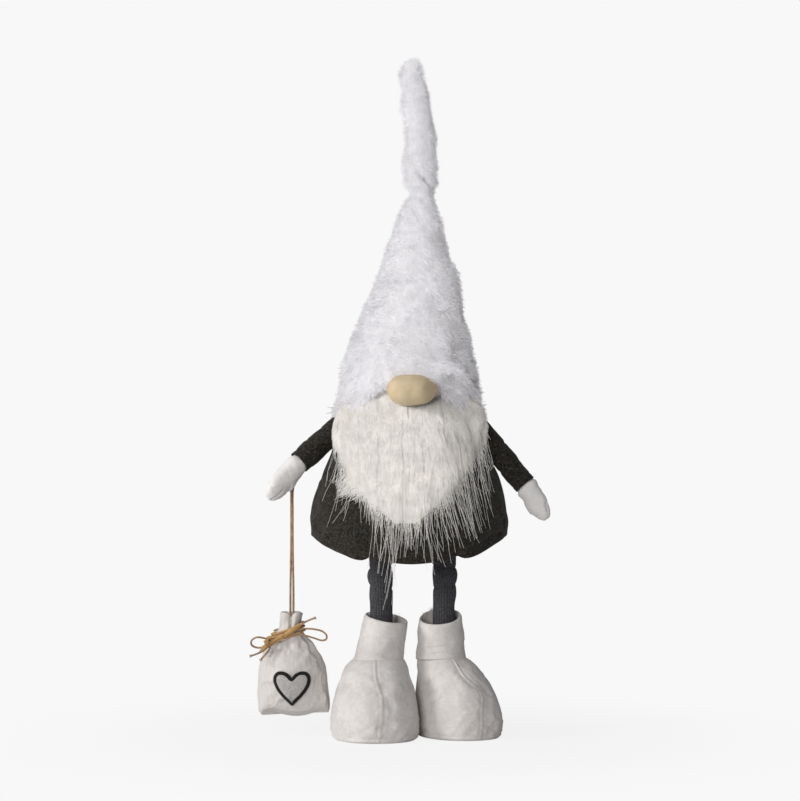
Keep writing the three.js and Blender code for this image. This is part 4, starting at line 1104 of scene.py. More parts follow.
class TomteCoat(bpy.types.Operator):
    """The bell-shaped coat and the base that closes it"""
    bl_idname = "tomte.coat"
    bl_label = "Coat"

    def execute(self, context):
        felt = once(melange_felt)
        columns = 176
        angle = around(columns)
        heights = np.linspace(HEM, NECK, 84)
        outer = self.rows(np.r_[heights, (304, 307, 309.5, 311)], np.r_[coat_half(heights), (34, 26, 16, 5)], angle)
        inner_heights = np.linspace(157.6, 182, 10)
        inner = self.rows(inner_heights, coat_half(inner_heights) - 2.8, angle)[::-1]
        edge = (outer[0] + inner[-1]) / 2 - (0, 0, 0.9)
        outer += self.stuffing()(outer)
        grid = np.concatenate([inner, edge[None], outer])
        coat = mesh_object("coat_shell", *skin(grid), felt)
        dress(coat, "torso", "coat_felt", "coat")

        rings = []
        shares = np.linspace(1, 0.04, 22)
        for share, rise in [(share, 0) for share in shares[::-1]] + [(share, 1) for share in shares]:
            half = (coat_half([181.0])[0] - 3.0) * share
            ring = np.stack([half * np.cos(angle), COAT_DEPTH * half * np.sin(angle), np.full(columns, 180.6)], -1)
            ring[:, 2] += 0.5 * waves(ring, 22, 51) * (1 - share) - 0.8 * bump(share, 0.97, 0.03) + rise
            rings.append(ring)
        base = mesh_object("coat_underside", *skin(rings), felt)
        dress(base, "torso", "coat_felt", "coat_base")
        return {"FINISHED"}

    def stuffing(self):
        """How the filling swells the cloth between its hem, side seams and neck"""
        heights = np.linspace(158, 306, 32)
        grid = self.rows(heights, coat_half(heights), around(72))

        def held(points):
            x, y, z = points.T
            hem = HEM + hem_rise(x, y, np.full(len(x), HEM))
            seam = ease(np.abs(x) / coat_half(z), 0.95, 0.985)
            return np.maximum.reduce([1 - ease(z - hem, 3, 9), ease(z, 288, 296), seam])
        give = stuffed(*skin(grid), held, 5.5, 2.2, 0.05)

        def swell(where):
            under_beard = ease(-where[..., 1], 10, 30) * (1 - ease(np.abs(where[..., 0]), 50, 66))
            return give(where) * (1 - 0.9 * under_beard)[..., None]
        return swell

    def rows(self, heights, halves, angle):
        """Rows of the coat with its folds, side seams and wavy hem"""
        grid = np.zeros((len(heights), len(angle), 3))
        z = heights[:, None] * np.ones(len(angle))
        x = halves[:, None] * np.cos(angle)
        y = COAT_DEPTH * halves[:, None] * np.sin(angle)
        low = 1 - ease(z, 165, 250)
        front = ease(-y, 0, 30)
        fold = -2.6 * (bump(x, COAT_FOLDS[0], 4.5) + bump(x, COAT_FOLDS[1], 5)) * front * low
        fold += 1.1 * (bump(x, -52, 12) + bump(x, 2, 18) + bump(x, 60, 10)) * front * low
        fold += -1.8 * (bump(x, -30, 8) + bump(x, 20, 9)) * ease(y, 0, 30) * low
        points = np.stack([x, y, z], -1)
        ripple = 0.8 * waves(points, 30, 61) + 0.35 * waves(points, 9, 62)
        seam = 0.7 * bump(np.abs(np.cos(angle)), 1, 0.0006) * np.ones_like(z)
        seam -= 0.6 * bump(np.abs(np.cos(angle)), 0.9975, 0.0012) * np.ones_like(z)
        puff = fold + (ripple + seam) * ease(310 - z, 0, 20)
        grid[..., 0] = x + np.cos(angle) * puff
        grid[..., 1] = y + np.sin(angle) * puff
        grid[..., 2] = z + hem_rise(x, y, z)
        return grid


# ---------------------------------------------------------------- beard
# Where the dense part of the beard ends: place across, height
BEARD_END = [(-70, 262), (-62, 250), (-54, 236), (-42, 220), (-34, 210), (-22, 204), (-4, 199), (12, 205), (24, 212),
             (36, 218), (46, 230), (56, 245), (64, 257), (70, 264)]
# Its sides: height, left, right
BEARD_SIDES = [(180, -60, 60), (212, -58, 60), (234, -60, 63), (254, -65, 67), (283, -61, 68), (296, -52, 58),
               (306, -40, 46)]
# Its dense body: height, half width, middle
BEARD_ROOTS = [(188, 7, -3.5), (196, 17, -3), (204, 26, -1.5), (212, 32.5, 1), (221, 40, 1.5), (234, 50, 1.4),
               (246, 57, 1.5), (268, 62, 2), (282, 63, 2.5), (292, 60, 2), (300, 42, 2), (308, 24, 3)]
# Locks that leave it: root across and height, tip across and height, spread at the root, fibres
LOCKS = [(-30, 246, -62, 214, 8, 120), (-26, 240, -54, 212, 8, 90), (-24, 235, -45, 211, 8, 70),
         (-60, 262, -68, 210, 5, 14), (-55, 246, -63, 198, 6, 4), (-47, 230, -60, 186, 9, 4),
         (-22, 212, -26, 140, 11, 9), (-18, 206, -24, 118, 9, 5), (14, 212, 25, 144, 9, 7), (24, 216, 31, 156, 9, 6),
         (62, 268, 70, 234, 5, 20), (58, 258, 70, 201, 5, 12), (52, 254, 61, 196, 9, 22), (42, 236, 55, 180, 10, 22),
         (30, 226, 44, 172, 11, 20)]
# Fibres in a bundle's own piece, from and to a share of them all. The first is dense and casts a shadow
BUNDLES = {"dense": (0, 0.03), "first": (0.03, 0.27), "second": (0.27, 0.51), "third": (0.51, 0.75),
           "fourth": (0.75, 1)}
STEPS_ALONG = 7
WISP_SHARE = 0.0145
LOCK_COUNTS = (300, 150)


class TomteBeard(bpy.types.Operator):
    """The long beard: a dense pad under thousands of fine fibres"""
    bl_idname = "tomte.beard"
    bl_label = "Beard"

    def execute(self, context):
        fur = fur_material("beard_fur", "DBD9D6", "F6F5F3", (1, 1, 0.05), "F0EBE6")
        self.pad(fur)
        rng = np.random.default_rng(7)
        count = sizes().beard_count
        paths, taper = self.paths(rng, count)
        for name, shares in BUNDLES.items():
            start, end = (int(share * len(paths)) for share in shares)
            self.fibres(f"beard_fibres_{name}", paths[start:end], taper[start:end], fur, start > 0)
        return {"FINISHED"}

    def thickness(self, x, z):
        """How thick the pad under the fibres is"""
        half, middle = curve_at(BEARD_ROOTS, z).T
        across = np.clip(np.abs(x - middle) / np.maximum(half, 1), 0, 1)
        depth = np.interp(z, (188, 200, 220, 245, 280, 300), (1.2, 3.4, 6, 8, 9.5, 9))
        return (depth + 6.5 * across**2 * ease(z, 205, 240)) * np.sqrt(np.maximum(1 - across**6, 0.02))

    def pad(self, fur):
        """The dense, streaked body of the beard"""
        rows, columns = 76, 90
        heights = np.linspace(306, 190, rows)
        grid = []
        for height in heights:
            half, middle = curve_at(BEARD_ROOTS, [height])[0] * (0.93, 1)
            x, z = middle + half * np.linspace(-1, 1, columns), np.full(columns, height)
            grid.append(np.stack([x, coat_front(x, z) - 0.4 - self.thickness(x, z), z], -1))
        grid = np.array(grid)
        flat = grid * (1, 1, 0.16)
        grid[..., 1] += 0.4 * waves(flat, 3.2, 71) + 0.5 * waves(flat, 9, 72)
        back = grid.copy()
        back[..., 1] = coat_front(grid[..., 0], grid[..., 2]) + 0.6
        closed = np.concatenate([grid, back[:, ::-1]], axis=1)
        pad = mesh_object("beard_pad", *skin(closed), fur)
        dress(pad, "torso", "white_fur", "beard")

    def paths(self, rng, count):
        """Fibres from their roots down over the coat, gathered into locks that end in points"""
        wisp = rng.random(count) < WISP_SHARE
        free = np.where(wisp, np.abs(rng.normal(42, 26, count)) - 36, rng.uniform(-68, 68, count)).clip(-70, 70)
        tip_x, tip_rise, tip_drop, sway, bow, bulk = self.locks(rng, free, wisp)
        gather = np.where(wisp, rng.uniform(0.5, 1.2, count), rng.uniform(0.3, 1, count))
        x1 = tip_x + (free - tip_x) * gather
        end = curve_at(BEARD_END, x1)[:, 0] + tip_rise
        tail = 0.4 * tip_drop + 0.6 * rng.exponential(1, count).clip(0.1, 3)
        tail = tail * rng.uniform(0.3, 1.1, count) * (10 + 22 * bump(x1, -2, 38))
        above = 6 + rng.exponential(12, count) - rng.exponential(5, count)
        between = (159 + rng.exponential(7, count)) * ease(x1, -15, -11) * (1 - ease(x1, 14, 18))
        z1 = np.where(wisp, np.maximum(end + 4 - np.minimum(tail, 88), between), end + above)
        flow = 0.32 * ease(free, 0, 55) - 0.2 * ease(-free, 25, 62) + sway + rng.normal(0, 0.035, count)
        flow += np.where(wisp, rng.normal(0, 0.07, count), 0)
        roots = [(-70, 281), (-55, 286), (-35, 297), (-15, 306), (20, 306), (40, 297), (58, 286), (70, 280)]
        top = curve_at(roots, x1)[:, 0]
        reach = np.where(rng.random(count) < 0.4, 200, rng.uniform(50, 116, count))
        z0 = np.minimum(z1 + reach, top - rng.uniform(0, 12, count))
        z0 = np.maximum(z0, z1 + 14)
        x0 = free - flow * (z0 - z1)

        aside = np.repeat(np.array(LOCKS, float), [row[5] for row in LOCKS], axis=0)
        extra = len(aside)
        spread = rng.normal(0, 1, (extra, 2)) * aside[:, 4:5]
        x0 = np.r_[x0, aside[:, 0] + spread[:, 0]]
        z0 = np.r_[z0, aside[:, 1] + spread[:, 1] * 1.2 + rng.uniform(0, 22, extra)]
        loose = rng.exponential(0.8, extra).clip(0, 2.4)
        across = aside[:, 2] - aside[:, 0]
        gathered = np.where(aside[:, 5] < 60, 0.85, 0.3)
        tips = aside[:, 2] + spread[:, 0] * gathered - across * 0.16 * loose + rng.normal(0, 0.8, extra)
        x1 = np.r_[x1, tips]
        short = 0.3 * (aside[:, 1] - aside[:, 3]) * rng.random(extra) ** 1.5
        z1 = np.r_[z1, aside[:, 3] + spread[:, 1] * 0.3 + short + rng.normal(0, 1.5, extra)]
        wisp = np.r_[wisp, np.full(extra, True)]
        bow = np.r_[bow, np.sign(across) * rng.normal(-2.2, 0.6, extra)]
        bulk = np.r_[bulk, rng.uniform(0.5, 1, extra)]
        count += extra

        half, middle = curve_at(BEARD_ROOTS, z0.clip(212, 308)).T
        x0 = middle + (x0 - middle).clip(-half, half)
        layer = 0.5 * ease(z0, 215, 300) + 0.25 * rng.random(count) + 0.35 * bulk
        phase, wave = rng.uniform(0, 2 * math.pi, count), rng.uniform(0.1, 0.9, count)
        ragged = rng.exponential(2.2, count) - 2
        points = np.zeros((count, STEPS_ALONG, 3))
        for i in range(STEPS_ALONG):
            t = i / (STEPS_ALONG - 1)
            px = x0 + (x1 - x0) * (0.7 * t + 0.3 * t * t) + bow * 4 * t * (1 - t)
            px = px + wave * (np.sin(phase + t * 4.0) * t + wisp * 5 * t**3 * np.sin(phase * 3))
            pz = z0 + (z1 - z0) * (t - 0.12 * t * (1 - t))
            left, right = curve_at(BEARD_SIDES, pz).T
            px = np.where(wisp & (t > 0.5), px, px.clip(left + ragged, right - ragged))
            room = 0.9 * coat_half(np.maximum(pz, HEM)) + 40 * ease(pz, 228, 262)
            px = px.clip(-room, room)
            under = self.thickness(px, np.clip(pz, 189, 309)) * ease(pz, 184, 206)
            rise = 2.4 * layer * math.sin(math.pi * min(t * 1.2, 1)) + 1.6 * (1 - t) * layer
            off = 1.0 + 1.7 * ease(-pz, -212, -190) + 2.6 * ease(np.abs(px), 40, 62)
            py = coat_front(px, np.maximum(pz, HEM)) - off - under - rise + 0.05 * np.clip(150 - pz, 0, 60)
            points[:, i] = np.stack([px, py, pz], -1)
        points[:, 0, 1] += 1.5 + 4 * ease(np.abs(x0), 35, 60)
        thin = np.linspace(1, 0.1, STEPS_ALONG)[None] ** np.where(wisp, 0.5, 0.85)[:, None]
        taper = thin * np.where(wisp, rng.uniform(0.5, 0.95, count), rng.uniform(0.7, 1.25, count))[:, None]
        mixed = rng.permutation(count)
        return points[mixed], taper[mixed]

    def locks(self, rng, free, wisp):
        """Sorts the fibres into locks, the long ones into fewer, and gives each fibre what its lock does"""
        count = len(free)
        tips = rng.uniform(-70, 70, sum(LOCK_COUNTS))
        near = free + rng.normal(0, 2.2, count)
        lock = np.zeros(count, int)
        for first, many, chosen in zip((0, LOCK_COUNTS[0]), LOCK_COUNTS, (~wisp, wisp)):
            some = tips[first:first + many]
            lock[chosen] = first + np.argmin(np.abs(near[chosen, None] - some[None]), axis=1)
        rise, drop = rng.normal(0, 3.4, len(tips)), rng.exponential(1, len(tips)).clip(0.15, 3)
        sway, bow, bulk = rng.normal(0, 0.06, len(tips)), rng.normal(0, 1.1, len(tips)), rng.random(len(tips))
        return [values[lock] for values in (tips, rise, drop, sway, bow, bulk)]

    def fibres(self, name, paths, taper, fur, fine):
        """One bundle of fibres as tubes; the finest let the light through"""
        count, steps = paths.shape[:2]
        first = (np.arange(count) * steps)[:, None] + np.arange(steps - 1)
        edges = np.stack([first.ravel(), first.ravel() + 1], -1).tolist()
        piece = mesh_object(name, paths.reshape(-1, 3), [], fur, edges)
        attribute(piece, "taper", taper.ravel())
        apply_tree(piece, tree_named(tube_tree, "Long fibres"), Thickness=sizes().beard_thickness, Material=fur)
        if fine:
            sheer(piece)
        dress(piece, "torso", "white_fur")


# ---------------------------------------------------------------- arms
# Places of the joints in millimetres; the palm's half width; the thumb's lean and length; where the crease runs
ARMS = {
    "right": {"shoulder": (-60, 0, 272), "wrist": (-95.9, -18, 240.9), "tip": (-124, -24, 209.4), "palm": 12.6,
              "way": -1, "thumb": (0.62, 14.5), "crease": (2.2, 2.2, 0.55, 0.7, 0.93, 1.02)},
    "left": {"shoulder": (60, 0, 270.5), "wrist": (101.9, -8, 221.3), "tip": (121.5, -11, 190.6), "palm": 9.8,
             "way": 1, "thumb": (0.3, 17.5), "crease": (-9, 16, 0.62, 0.7, 0.84, 0.92)},
}
SHOULDER_BALL = 11
PALM_DEPTH, MITTEN_NECK = 6.2, 8.1
# Along the thumb, its half width
THUMB = [(-0.1, 3), (0.15, 5.2), (0.55, 5.6), (0.85, 4.2), (1, 2)]


def arm_frame(arm):
    """Origin, axes and length of an arm, its third axis from shoulder to wrist"""
    start, end = np.array(arm["shoulder"], float), np.array(arm["wrist"], float)
    long = float(np.linalg.norm(end - start))
    turn = Vector((0, 0, 1)).rotation_difference(Vector(end - start).normalized()).to_matrix()
    return start, np.array(turn), long


class TomteArms(bpy.types.Operator):
    """Sleeves and mittens"""
    bl_idname = "tomte.arms"
    bl_label = "Arms"

    def execute(self, context):
        felt = once(melange_felt)
        white = once(pale_felt, "mitten_felt", "E0DDDA", "F5F3F1", "ECE4DC")
        for side, arm in ARMS.items():
            self.sleeve(side, arm, felt)
            self.mitten(side, arm, white)
        return {"FINISHED"}

    def sleeve(self, side, arm, felt):
        """A soft tube with a turned-in hem, that starts as a ball in the shoulder"""
        start, turn, long = arm_frame(arm)
        angle = around(72)
        ball = SHOULDER_BALL
        rows = [(ball * math.sin(a), -ball * math.cos(a)) for a in np.linspace(0.12, math.pi / 2, 8)]
        rows += [(ball - t, long * t) for t in np.linspace(0.02, 0.985, 46)]
        hem = [(10.1, -0.2), (9.7, 0.15), (9.1, 0.1), (8.6, -0.6), (8.4, -4), (8.3, -9)]
        rows += [(r, long + off) for r, off in hem]
        grid = np.array([[(r * math.cos(a), r * math.sin(a), z) for a in angle] for r, z in rows])
        z = grid[..., 2]
        along = z / long
        out = unit(grid * (1, 1, 0))
        crease = -0.9 * bump(z + 3 * np.cos(angle - 0.6), long * 0.36, 1.6) * ease(np.cos(angle - 2.2), -0.4, 0.8)
        crease += -0.7 * bump(z - 2 * np.cos(angle + 0.4), long * 0.62, 1.4) * ease(np.cos(angle - 0.4), -0.3, 0.8)
        groove = -0.45 * bump(z, long - 5.5, 0.7)
        puff = 0.5 * waves(grid, 13, 81 if side == "right" else 82) + 0.2 * waves(grid, 4, 83)
        on = ease(along, 0.02, 0.2) * (1 - ease(along, 1.0, 1.01))
        grid += out * ((crease + groove + puff) * on)[..., None]
        grid = grid @ turn.T + start
        piece = mesh_object(f"{side}_sleeve_felt", *skin(grid), felt)
        dress(piece, f"{side}_arm", "coat_felt", f"{side}_sleeve")

    def mitten(self, side, arm, white):
        """Palm and thumb blown together into one padded form, with its seam and the thumb's crease"""
        start, turn, long = arm_frame(arm)
        reach = (np.array(arm["tip"]) - start) @ turn - (0, 0, long)
        palm, depth, neck = arm["palm"], PALM_DEPTH, MITTEN_NECK
        table = [(-0.16, neck, neck), (0.0, neck, neck), (0.05, neck + 1.9, neck), (0.25, palm * 0.95, depth + 1.4),
                 (0.5, palm, depth + 0.2), (0.75, palm * 0.86, depth * 0.88), (0.9, palm * 0.58, depth * 0.66),
                 (0.98, palm * 0.3, depth * 0.4)]
        shares = np.linspace(-0.16, 0.98, 40)
        widths = curve_at(table, shares)
        angle = around(48)
        grid = []
        for share, (w, d) in zip(shares, widths):
            x, y = max(0, share) * reach[:2]
            grid.append([(x + w * math.cos(a), y + d * math.sin(a), long + share * reach[2]) for a in angle])
        way = arm["way"]
        thumb = []
        lean, thumb_long = arm["thumb"]
        at = np.array((way * palm * 0.55, 0, long + reach[2] * 0.24))
        shares = np.linspace(-0.1, 1, 14)
        for share, half in zip(shares, curve_at(THUMB, shares)[:, 0]):
            centre = at + np.array((way * lean, 0, math.sqrt(1 - lean**2))) * thumb_long * share
            thumb.append([(centre[0] + half * math.cos(a), centre[1] + half * 0.92 * math.sin(a), centre[2])
                          for a in angle[::2]])
        parts = [skin(grid), skin(thumb)]
        parts = [(points @ turn.T + start, faces) for points, faces in parts]
        piece = together(f"{side}_mitten_felt", parts, white)
        remesh = piece.modifiers.new("Remesh", "REMESH")
        remesh.mode, remesh.voxel_size, remesh.use_smooth_shade = "VOXEL", 0.0009, True
        smooth = piece.modifiers.new("Smooth", "SMOOTH")
        smooth.factor, smooth.iterations = 0.6, 6
        settle(piece)
        piece.data.materials.clear()
        piece.data.materials.append(white)
        points, normals = read_points(piece), read_normals(piece)
        local = (points - start) @ turn - (0, 0, long)
        share = local[:, 2] / reach[2]
        beside, off = (local[:, :2] - np.clip(share, 0, 1)[:, None] * reach[:2]).T
        beside = beside * way
        offset, slant, *span = arm["crease"]
        middle = offset + slant * (share - span[0])
        crease = -1.3 * bump(beside, middle, 0.9) * ease(share, *span[:2]) * (1 - ease(share, *span[2:]))
        seam = 0.35 * bump(off, 0.6, 0.5) * ease(np.abs(beside), palm * 0.45, palm * 0.7)
        puff = 0.25 * waves(points, 6, 91) + 0.12 * waves(points, 2.4, 92)
        moved = points + normals * (crease + seam + puff)[:, None]
        piece.data.vertices.foreach_set("co", metres(moved).ravel())
        piece.data.update()
        dress(piece, f"{side}_arm", "white_felt", f"{side}_mitten")


# ---------------------------------------------------------------- legs
LEGS = {
    "left": {"x": 30.8, "y": 6.0, "heading": 30.0, "way": 1},
    "right": {"x": -24.6, "y": -6.0, "heading": 9.0, "way": -1},
}
LEG_RADIUS = 9.4


def rib_tree():
    """Node tree: ribs that stand out from a tube, counted round it"""
    tree, given = new_tree("Ribs", {"Ribs": 26, "Depth": 0.0005})
    turn = node(tree, NAMED, {"Name": "turn"}, data_type="FLOAT")
    wave = node(tree, MATH, {0: turn, 1: given["Ribs"]}, operation="MULTIPLY")
    wave = node(tree, MATH, {0: wave, 1: 2 * math.pi}, operation="MULTIPLY")
    wave = node(tree, MATH, {0: wave}, operation="SINE")
    raised = node(tree, MATH, {0: wave, 1: 0.5, 2: 0.5}, operation="MULTIPLY_ADD")
    raised = node(tree, MATH, {0: raised}, operation="ABSOLUTE")
    raised = node(tree, MATH, {0: raised, 1: 0.6}, operation="POWER")
    raised = node(tree, MATH, {0: raised, 1: given["Depth"]}, operation="MULTIPLY")
    normal = node(tree, "GeometryNodeInputNormal")
    out = node(tree, "ShaderNodeVectorMath", {0: normal, "Scale": raised}, operation="SCALE")
    moved = node(tree, "GeometryNodeSetPosition", {"Geometry": given["Geometry"], "Offset": out})
    return end_tree(tree, moved, given["Material"])


class TomteLegs(bpy.types.Operator):
    """The ribbed knit that covers the telescopic legs"""
    bl_idname = "tomte.legs"
    bl_label = "Legs"

    def execute(self, context):
        knit = rib_knit()
        for side, leg in LEGS.items():
            self.leg(side, leg, knit)
        return {"FINISHED"}

    def leg(self, side, leg, knit):
        """A tube that is bunched under the coat, with its ribs raised by the node tree"""
        columns = sizes().rib_count * 8
        heights = np.linspace(75.2, 180, 132)
        angle = around(columns)
        z = heights[:, None] * np.ones(columns)
        way = leg["way"]
        side_on = way * np.cos(angle)
        bunch = 1.5 * bump(z, 158, 7) * (1 - 0.5 * side_on) + 1.3 * bump(z, 141, 6.5) * (1 + 0.35 * side_on)
        bunch += 0.6 * bump(z, 124, 6) * (1 + 0.6 * side_on)
        pinch = -0.9 * bump(z + 1.2 * side_on, 149, 1.6) - 0.7 * bump(z - 1.5 * side_on, 131.5, 1.6)
        flat = LEG_RADIUS * np.ones_like(z)
        points = np.stack([np.cos(angle) * flat, np.sin(angle) * flat, z], -1)
        radius = LEG_RADIUS - 0.05 + bunch + pinch + 0.25 * waves(points, 10, 101 + way) + 0.25 * ease(z, 100, 80)
        grid = np.stack([leg["x"] + radius * np.cos(angle), leg["y"] + radius * np.sin(angle), z], -1)
        grid[..., 0] += 0.5 * waves(points * (0, 0, 1), 26, 111 + way)
        piece = mesh_object(f"{side}_leg_rib", *skin(grid), knit)
        attribute(piece, "turn", np.r_[np.tile(np.arange(columns) / columns, len(heights)), 0, 0])
        ribs = {"Ribs": sizes().rib_count, "Depth": sizes().rib_depth}
        apply_tree(piece, tree_named(rib_tree, "Ribs"), Material=knit, **ribs)
        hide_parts(f"{side}_leg_knit")
        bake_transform(piece)


# ---------------------------------------------------------------- boots
# Up the foot: height, half width, half length, how far its middle lies forward, and outward
BOOT = [(0, 36.4, 41.6, 12, 5.4), (3, 37.4, 42.6, 12, 5.4), (7, 37.9, 43, 12, 5.4), (19, 37.6, 42.4, 11.6, 5.4),
        (33, 35.6, 40, 10, 5), (49, 31.8, 34.5, 7, 4), (58, 28.6, 30, 4.5, 3), (66, 24.4, 25, 1.5, 1.4),
        (71, 20.6, 20.8, 0, 0)]
# The seam is given by heights and the figure's own x, the creases of the cuff by height and depth
BOOTS = {
    "left": {"width": 0.93, "outward": 2.0, "low": -3.1, "high": -3.5, "tilt": (4, 4), "beyond": 1.0,
             "seam": [(0, 62.5), (24, 63.4), (44, 60.7), (53, 50.2), (71, 38)],
             "creases": ((80.7, 0.75), (74, 0.6))},
    "right": {"width": 1.0, "outward": -1.0, "low": -1.8, "high": 4.6, "tilt": (-2.5, 3), "beyond": 0.8,
              "seam": [(0, -26.4), (18, -23.8), (40, -23.8), (53, -28.2), (71, -29.8)], "creases": ()},
}
# Once round the cuff's section, from its turned hem up to the rim and down inside: radius and height
CUFF = [(19.4, 70.2), (20.6, 68.5), (21.5, 68.1), (22.1, 68.7), (22, 70.2), (21.6, 73), (21.1, 77), (20.6, 82),
        (20.3, 87), (20, 92), (19.6, 97), (19.3, 100.5), (19.0, 102.8), (18.4, 104.2), (17.6, 104.7), (16.8, 104.3),
        (16.3, 103), (16.2, 100), (16.4, 94), (16.8, 86), (17.2, 78), (17.6, 72.5)]
CUFF_LOW, CUFF_TALL = 71.3, 33


class TomteBoots(bpy.types.Operator):
    """The stuffed felt boots with their turned-down cuffs"""
    bl_idname = "tomte.boots"
    bl_label = "Boots"

    def execute(self, context):
        felt = once(pale_felt, "boot_nap", "CBC6C2", "E6E2DF", "E0D5CC")
        for side, leg in LEGS.items():
            self.upper(side, leg, BOOTS[side], felt)
            self.cuff(side, leg, BOOTS[side], felt)
        return {"FINISHED"}

    def placed(self, grid, leg):
        """From the boot's own axes to the figure's"""
        turn = math.radians(leg["heading"])
        x, y = grid[..., 0].copy(), grid[..., 1].copy()
        grid[..., 0] = leg["x"] + x * math.cos(turn) - y * math.sin(turn)
        grid[..., 1] = leg["y"] + x * math.sin(turn) + y * math.cos(turn)
        return grid

    def upper(self, side, leg, boot, felt):
        """The foot: a full bell with a raised seam down its front and puckers at its foot"""
        columns = 180
        heights = np.r_[0.25, 0.7, 1.4, np.linspace(2.4, 71, 66)]
        angle = around(columns)
        w, l, toe, out = curve_at(BOOT, heights).T
        c, s = rounded(angle, 2.1)
        grid = np.zeros((len(heights), columns, 3))
        grid[..., 0] = (boot["low"] + boot["outward"] * out)[:, None] + (w * boot["width"])[:, None] * c
        grid[..., 1] = -toe[:, None] + l[:, None] * s
        grid[..., 2] = heights[:, None]
        z = grid[..., 2]
        centre = grid.mean(axis=1, keepdims=True)
        outward = unit((grid - centre) * (1, 1, 0))
        placed = self.placed(grid.copy(), leg)
        grid -= outward * (1.5 * ease(2.4 - z, 0, 2.4) ** 2)[..., None]
        target = curve_at(boot["seam"], heights)[:, 0][:, None]
        front = ease(placed[..., 1].mean(axis=1, keepdims=True) - placed[..., 1], 4, 14)
        across = placed[..., 0] - target
        slope = np.abs(np.gradient(placed[..., 0], axis=1)) / np.maximum(
            np.linalg.norm(np.gradient(placed, axis=1), axis=-1), 1e-6)
        across = across / np.maximum(slope, 0.3)
        seam = (0.85 * bump(across, 0, 0.7) - 0.55 * bump(across, 1.7, 1.0) - 0.3 * bump(across, -1.6, 0.9)) * front
        seam -= boot["beyond"] * bump(across, 7, 6) * front
        rear = -0.5 * bump(grid[..., 0] - centre[..., 0], 0, 0.9) * (grid[..., 1] > centre[..., 1])
        low = ease(z, 1, 4) * (1 - ease(z, 14, 30))
        flat = placed * (1, 1, 1.9)
        beyond = 0.65 + 0.3 * ease(placed[..., 0] - target, -4, 8)
        pucker = (0.3 * waves(flat, 5.0, 121) + 0.22 * waves(flat, 2.4, 122)) * low * beyond
        pull = 0.3 * waves(placed * (1, 1, 0.25), 4, 123) * bump(z, 6, 5) * beyond
        soft = 0.5 * waves(placed, 19, 124) + 0.16 * waves(placed, 7, 125)
        edge = -0.55 * bump(z, 4.2, 0.9) + 0.3 * bump(z, 2.4, 0.9)
        tuck = -1.6 * ease(z, 66, 71)
        grid += outward * ((seam + rear + pucker + pull + soft + tuck + edge) * ease(z, 0.2, 1.2))[..., None]
        grid = self.placed(grid, leg)
        swell = self.stuffing(grid[::3, ::3], boot)(grid)
        grid += swell * (ease(z, 0.5, 5) * (1 - ease(z, 60, 67)))[..., None]
        top = grid[-1:]
        inner = top + (0, 0, 0.8) - unit((top - top.mean(axis=1, keepdims=True)) * (1, 1, 0)) * 6
        piece = mesh_object(f"{side}_boot_foot", *skin(np.concatenate([grid, inner])), felt)
        dress(piece, f"{side}_boot", "boot_felt", f"{side}_boot_upper", f"{side}_boot_sole")

    def stuffing(self, grid, boot):
        """How the filling swells the foot between its sole, its seams and its top"""
        def held(points):
            target = curve_at(boot["seam"], points[:, 2])[:, 0]
            seam = bump(points[:, 0], target, 2.6) * (points[:, 1] < points[:, 1].mean())
            return np.maximum.reduce([1 - ease(points[:, 2], 2, 5), ease(points[:, 2], 60, 65), seam])
        return stuffed(*skin(grid), held, 4, 0.7, 0.02)

    def cuff(self, side, leg, boot, felt):
        """A double collar: turned over at the rim, with its free edge lying on the foot"""
        columns = 144
        angle = around(columns)
        steps = np.linspace(0, len(CUFF) - 1, 86)
        radius, height = curve_at([(i, r, z) for i, (r, z) in enumerate(CUFF)], steps).T
        grid = np.zeros((len(steps), columns, 3))
        share = (height - CUFF_LOW) / CUFF_TALL
        z = height[:, None] * np.ones(columns)
        shift = boot["low"] + share * (boot["high"] - boot["low"])
        c, s = np.cos(angle), np.sin(angle)
        outer = (steps < 13.5)[:, None]
        radial = radius[:, None] * np.ones(columns)
        local = np.stack([c * radial, s * radial, z], -1)
        soft = 0.4 * waves(local, 11, 131 if side == "left" else 132) + 0.15 * waves(local, 4, 133)
        crease = np.zeros_like(z)
        for level, deep in boot["creases"]:
            line = level + 1.4 * np.cos(angle + 0.8) + 0.7 * np.sin(angle * 5 + level)
            crease += (-deep * bump(z, line, 0.9) + 0.6 * deep * bump(z, line + 2.2, 1.4)) * (
                0.65 + 0.35 * np.sin(angle * 2.3 + level))
        crease *= outer * ease(-s, -0.5, 0.4)
        hem = -0.35 * bump(z, 71.4, 0.6) * outer
        radial += (soft + crease + hem) * ease(z, 69, 72)
        grid[..., 0] = shift[:, None] + radial * c
        grid[..., 1] = radial * s
        tilt = np.clip(share, 0, 1.1)[:, None]
        grid[..., 2] = z + tilt * (boot["tilt"][0] * c + boot["tilt"][1] * s)
        grid[..., 2] += np.where(share[:, None] < 0.1, 0.7 * waves(local * (1, 1, 0), 14, 134), 0)
        grid = self.placed(grid, leg)
        piece = mesh_object(f"{side}_boot_collar", grid.reshape(-1, 3), quads(*grid.shape[:2], True), felt)
        dress(piece, f"{side}_boot", "boot_felt", f"{side}_boot_cuff")
        self.lining(side, piece, grid, height)

